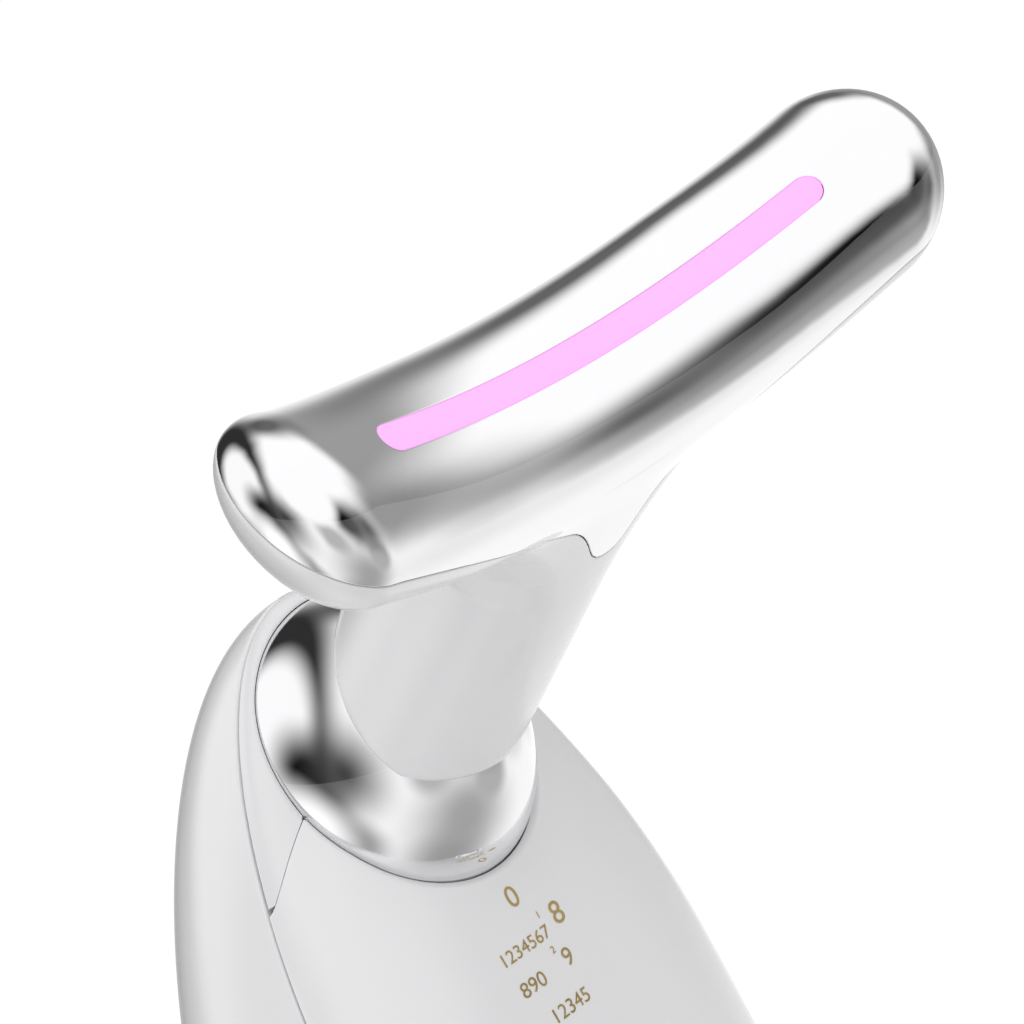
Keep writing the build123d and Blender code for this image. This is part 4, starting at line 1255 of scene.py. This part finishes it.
@dataclass(frozen=True)
class Studio:
    """Floor, lamp, world and the camera at the photograph's angle."""

    room_level: float = 0.86
    wall_level: float = 1.0
    floor_level: float = 1.06
    floor_share: float = 0.9
    white: tuple[float, float, float, float] = (1.0, 1.0, 1.0, 1.0)
    middle: tuple[float, float, float] = (0.0, -0.02, 0.115)
    # Painted reflections: soft zones by direction, size and level, brighter or darker than the white, seen only by
    # glossy rays in the world and on the floor.
    painted_reflections: tuple[PaintedReflection, ...] = (
        PaintedReflection(-174, -65, 5, 59, 0.34),
        PaintedReflection(57, 6, 15, 44, 1.15),
        PaintedReflection(143, -40, 10, 24, 0.41),
        PaintedReflection(-67, -80, 3, 31, 0.29),
        PaintedReflection(-62, -34, 5, 25, 0.16),
        PaintedReflection(-151, -19, 8, 26, 0.45),
        PaintedReflection(138, 69, 48, 65, 1.11),
        PaintedReflection(135, 25, 24, 30, 1.1),
        PaintedReflection(163, -6, 6, 35, 0),
        PaintedReflection(140, -12, 0, 33, 0.06),
        PaintedReflection(72, 9, 19, 37, 0.36),
        PaintedReflection(51, 42, 6, 30, 0.14),
        PaintedReflection(-27, 19, 46, 71, 0.03),
        PaintedReflection(-40, 22, 24, 43, 1.07),
        PaintedReflection(-66, 0, 8, 35, 0),
        PaintedReflection(-93, 1, 0, 43, 0.06),
        PaintedReflection(-52, -21, 5, 29, 1.15),
        PaintedReflection(-160, 33, 31, 47, 1.1),
        PaintedReflection(106, -7, 5, 33, 0.28),
    )
    camera_mm: tuple[float, float, float] = (-153.735, -210.534, 167.908)
    camera_turn: tuple[float, float, float] = (77.274695, 22.704109, -43.239807)
    lens: float = 125.5112

    def camera(self) -> None:
        """Place the camera."""
        data = bpy.data.cameras.new("camera")
        data.lens, data.sensor_width = self.lens, 36.0
        data.clip_start, data.clip_end = 0.01, 20.0
        item = bpy.data.objects.new("camera", data)
        item.location = Vector(self.camera_mm) * MM
        item.rotation_euler = Euler([math.radians(a) for a in self.camera_turn])
        bpy.context.scene.collection.objects.link(item)
        bpy.context.scene.camera = item

    def reflection_group(self) -> bpy.types.NodeTree:
        """The painted reflections as brightness by direction, white where there is none."""
        nodes = Group("studio_cards", outputs=("Level",))
        way = nodes.put(nodes.add("VectorMath", operation="NORMALIZE"), i0=nodes.given["Vector"]).outputs[0]
        level: bpy.types.NodeSocket | float = self.wall_level
        for painted_zone in self.painted_reflections:
            toward = nodes.put(nodes.add("VectorMath", operation="DOT_PRODUCT"), i0=way, i1=painted_zone.way)
            share = nodes.put(
                nodes.add("MapRange", interpolation_type="SMOOTHSTEP"),
                Value=nodes.math("ARCCOSINE", toward.outputs["Value"]),
                From_Min=math.radians(painted_zone.faded),
                From_Max=math.radians(painted_zone.full),
            )
            level = nodes.put(nodes.add("Mix"), Factor=share.outputs[0], i2=level, i3=painted_zone.level).outputs[0]
        nodes.give(Level=level)
        return nodes.tree

    def shown_reflections(self, nodes: Nodes, way: bpy.types.NodeSocket) -> bpy.types.NodeSocket:
        """Place the group of painted reflections and return its brightness along a direction."""
        painted_reflections = nodes.add("Group")
        painted_reflections.node_tree = bpy.data.node_groups.get("studio_cards") or self.reflection_group()
        return nodes.put(painted_reflections, Vector=way).outputs["Level"]

    @staticmethod
    def rays(nodes: Nodes) -> tuple[bpy.types.NodeSocket, bpy.types.NodeSocket]:
        """Say whether a ray is the camera's or goes through glass, and whether metal mirrors it."""
        path = nodes.add("LightPath").outputs
        return nodes.math("MAXIMUM", path["Is Camera Ray"], path["Is Transmission Ray"]), path["Is Glossy Ray"]

    def floor(self) -> None:
        """Lay a wide, pale floor that keeps a share of its own shade, with the painted reflections on it for glossy
        rays.
        """
        Bench.clear_selection()
        bpy.ops.mesh.primitive_plane_add(size=6.0)
        item = Bench.named("floor")
        made = bpy.data.materials.new("floor_pale")
        made.use_nodes = True
        nodes = Nodes(made.node_tree)
        seen, mirrored = self.rays(nodes)
        where = nodes.add("TexCoord").outputs["Object"]
        way = nodes.put(nodes.add("VectorMath", operation="SUBTRACT"), i0=where, i1=self.middle)
        noise = nodes.put(nodes.add("TexNoise"), Vector=where, Scale=8.0)
        shade = nodes.put(
            nodes.add("Mix", data_type="RGBA"),
            Factor=noise.outputs[0],
            i6=(0.82, 0.82, 0.82, 1.0),
            i7=(0.85, 0.85, 0.85, 1.0),
        )
        matte = nodes.put(nodes.add("BsdfPrincipled"), Base_Color=shade.outputs[2], Roughness=0.8)
        white = nodes.put(nodes.add("Emission"), Color=self.white, Strength=self.floor_level)
        # Painted reflection on the floor: glossy rays see these zones in place of its white.
        painted_reflections = self.shown_reflections(nodes, way.outputs[0])
        painted_zone = nodes.put(nodes.add("Emission"), Color=painted_reflections, Strength=self.floor_level)
        plain = nodes.mixed(nodes.math("MULTIPLY", seen, self.floor_share), matte.outputs[0], white.outputs[0])
        both = nodes.mixed(nodes.math("MULTIPLY", mirrored, self.floor_share), plain, painted_zone.outputs[0])
        nodes.put(nodes.add("OutputMaterial"), Surface=both)
        item.data.materials.append(made)

    def world(self) -> None:
        """Light the room softly, white to the camera and through glass, with the painted reflections in metal."""
        world = bpy.data.worlds.new("studio")
        bpy.context.scene.world = world
        world.use_nodes = True
        nodes = Nodes(world.node_tree)
        seen, mirrored = self.rays(nodes)
        # Painted reflections in the world: glossy rays see these zones in place of the soft room light.
        painted_reflections = self.shown_reflections(nodes, nodes.add("TexCoord").outputs["Generated"])
        soft = nodes.put(nodes.add("Background"), Color=self.white, Strength=self.room_level)
        painted_zone = nodes.put(nodes.add("Background"), Color=painted_reflections, Strength=1.0)
        white = nodes.put(nodes.add("Background"), Color=self.white, Strength=1.0)
        polished = nodes.mixed(mirrored, soft.outputs[0], painted_zone.outputs[0])
        nodes.put(nodes.add("OutputWorld"), Surface=nodes.mixed(seen, polished, white.outputs[0]))

    def lamp(self, name: str, place: tuple[float, float, float], size: float, power: float) -> None:
        """Hang one soft square lamp that looks at the object."""
        data = bpy.data.lights.new(name, "AREA")
        data.size, data.energy = size, power
        item = bpy.data.objects.new(name, data)
        item.location = place
        item.visible_glossy = False
        aim = Vector((0.0, 0.0, 0.08)) - item.location
        item.rotation_euler = aim.to_track_quat("-Z", "Y").to_euler()
        bpy.context.scene.collection.objects.link(item)

    def build(self) -> None:
        """Set up the whole stage."""
        self.camera()
        self.floor()
        self.world()
        self.lamp("key", (-0.5, -0.5, 0.9), 0.6, 2.0)
        bpy.context.scene.view_settings.view_transform = "Standard"


def dress_carried(nodes: dict[str, bpy.types.Object]) -> None:
    """Give each solid that is carried over its finish."""
    for name, finish in CARRIED.items():
        item = nodes[name]
        item.data.materials.clear()
        item.data.materials.append(finish.material())
        LOG.info("%s keeps its solid", name)


def main() -> None:
    """Build the stage and every piece."""
    logging.basicConfig(level=logging.INFO, format="%(message)s")
    for effect in (handled_gloss, moulded_grain, drawn_lines):
        effect()
    Studio().build()
    Head().build()
    Ball().build()
    Ball().washers()
    Handle().build()
    Marks().build()
    dress_carried(frame["nodes"])


if __name__ == "__main__":
    main()
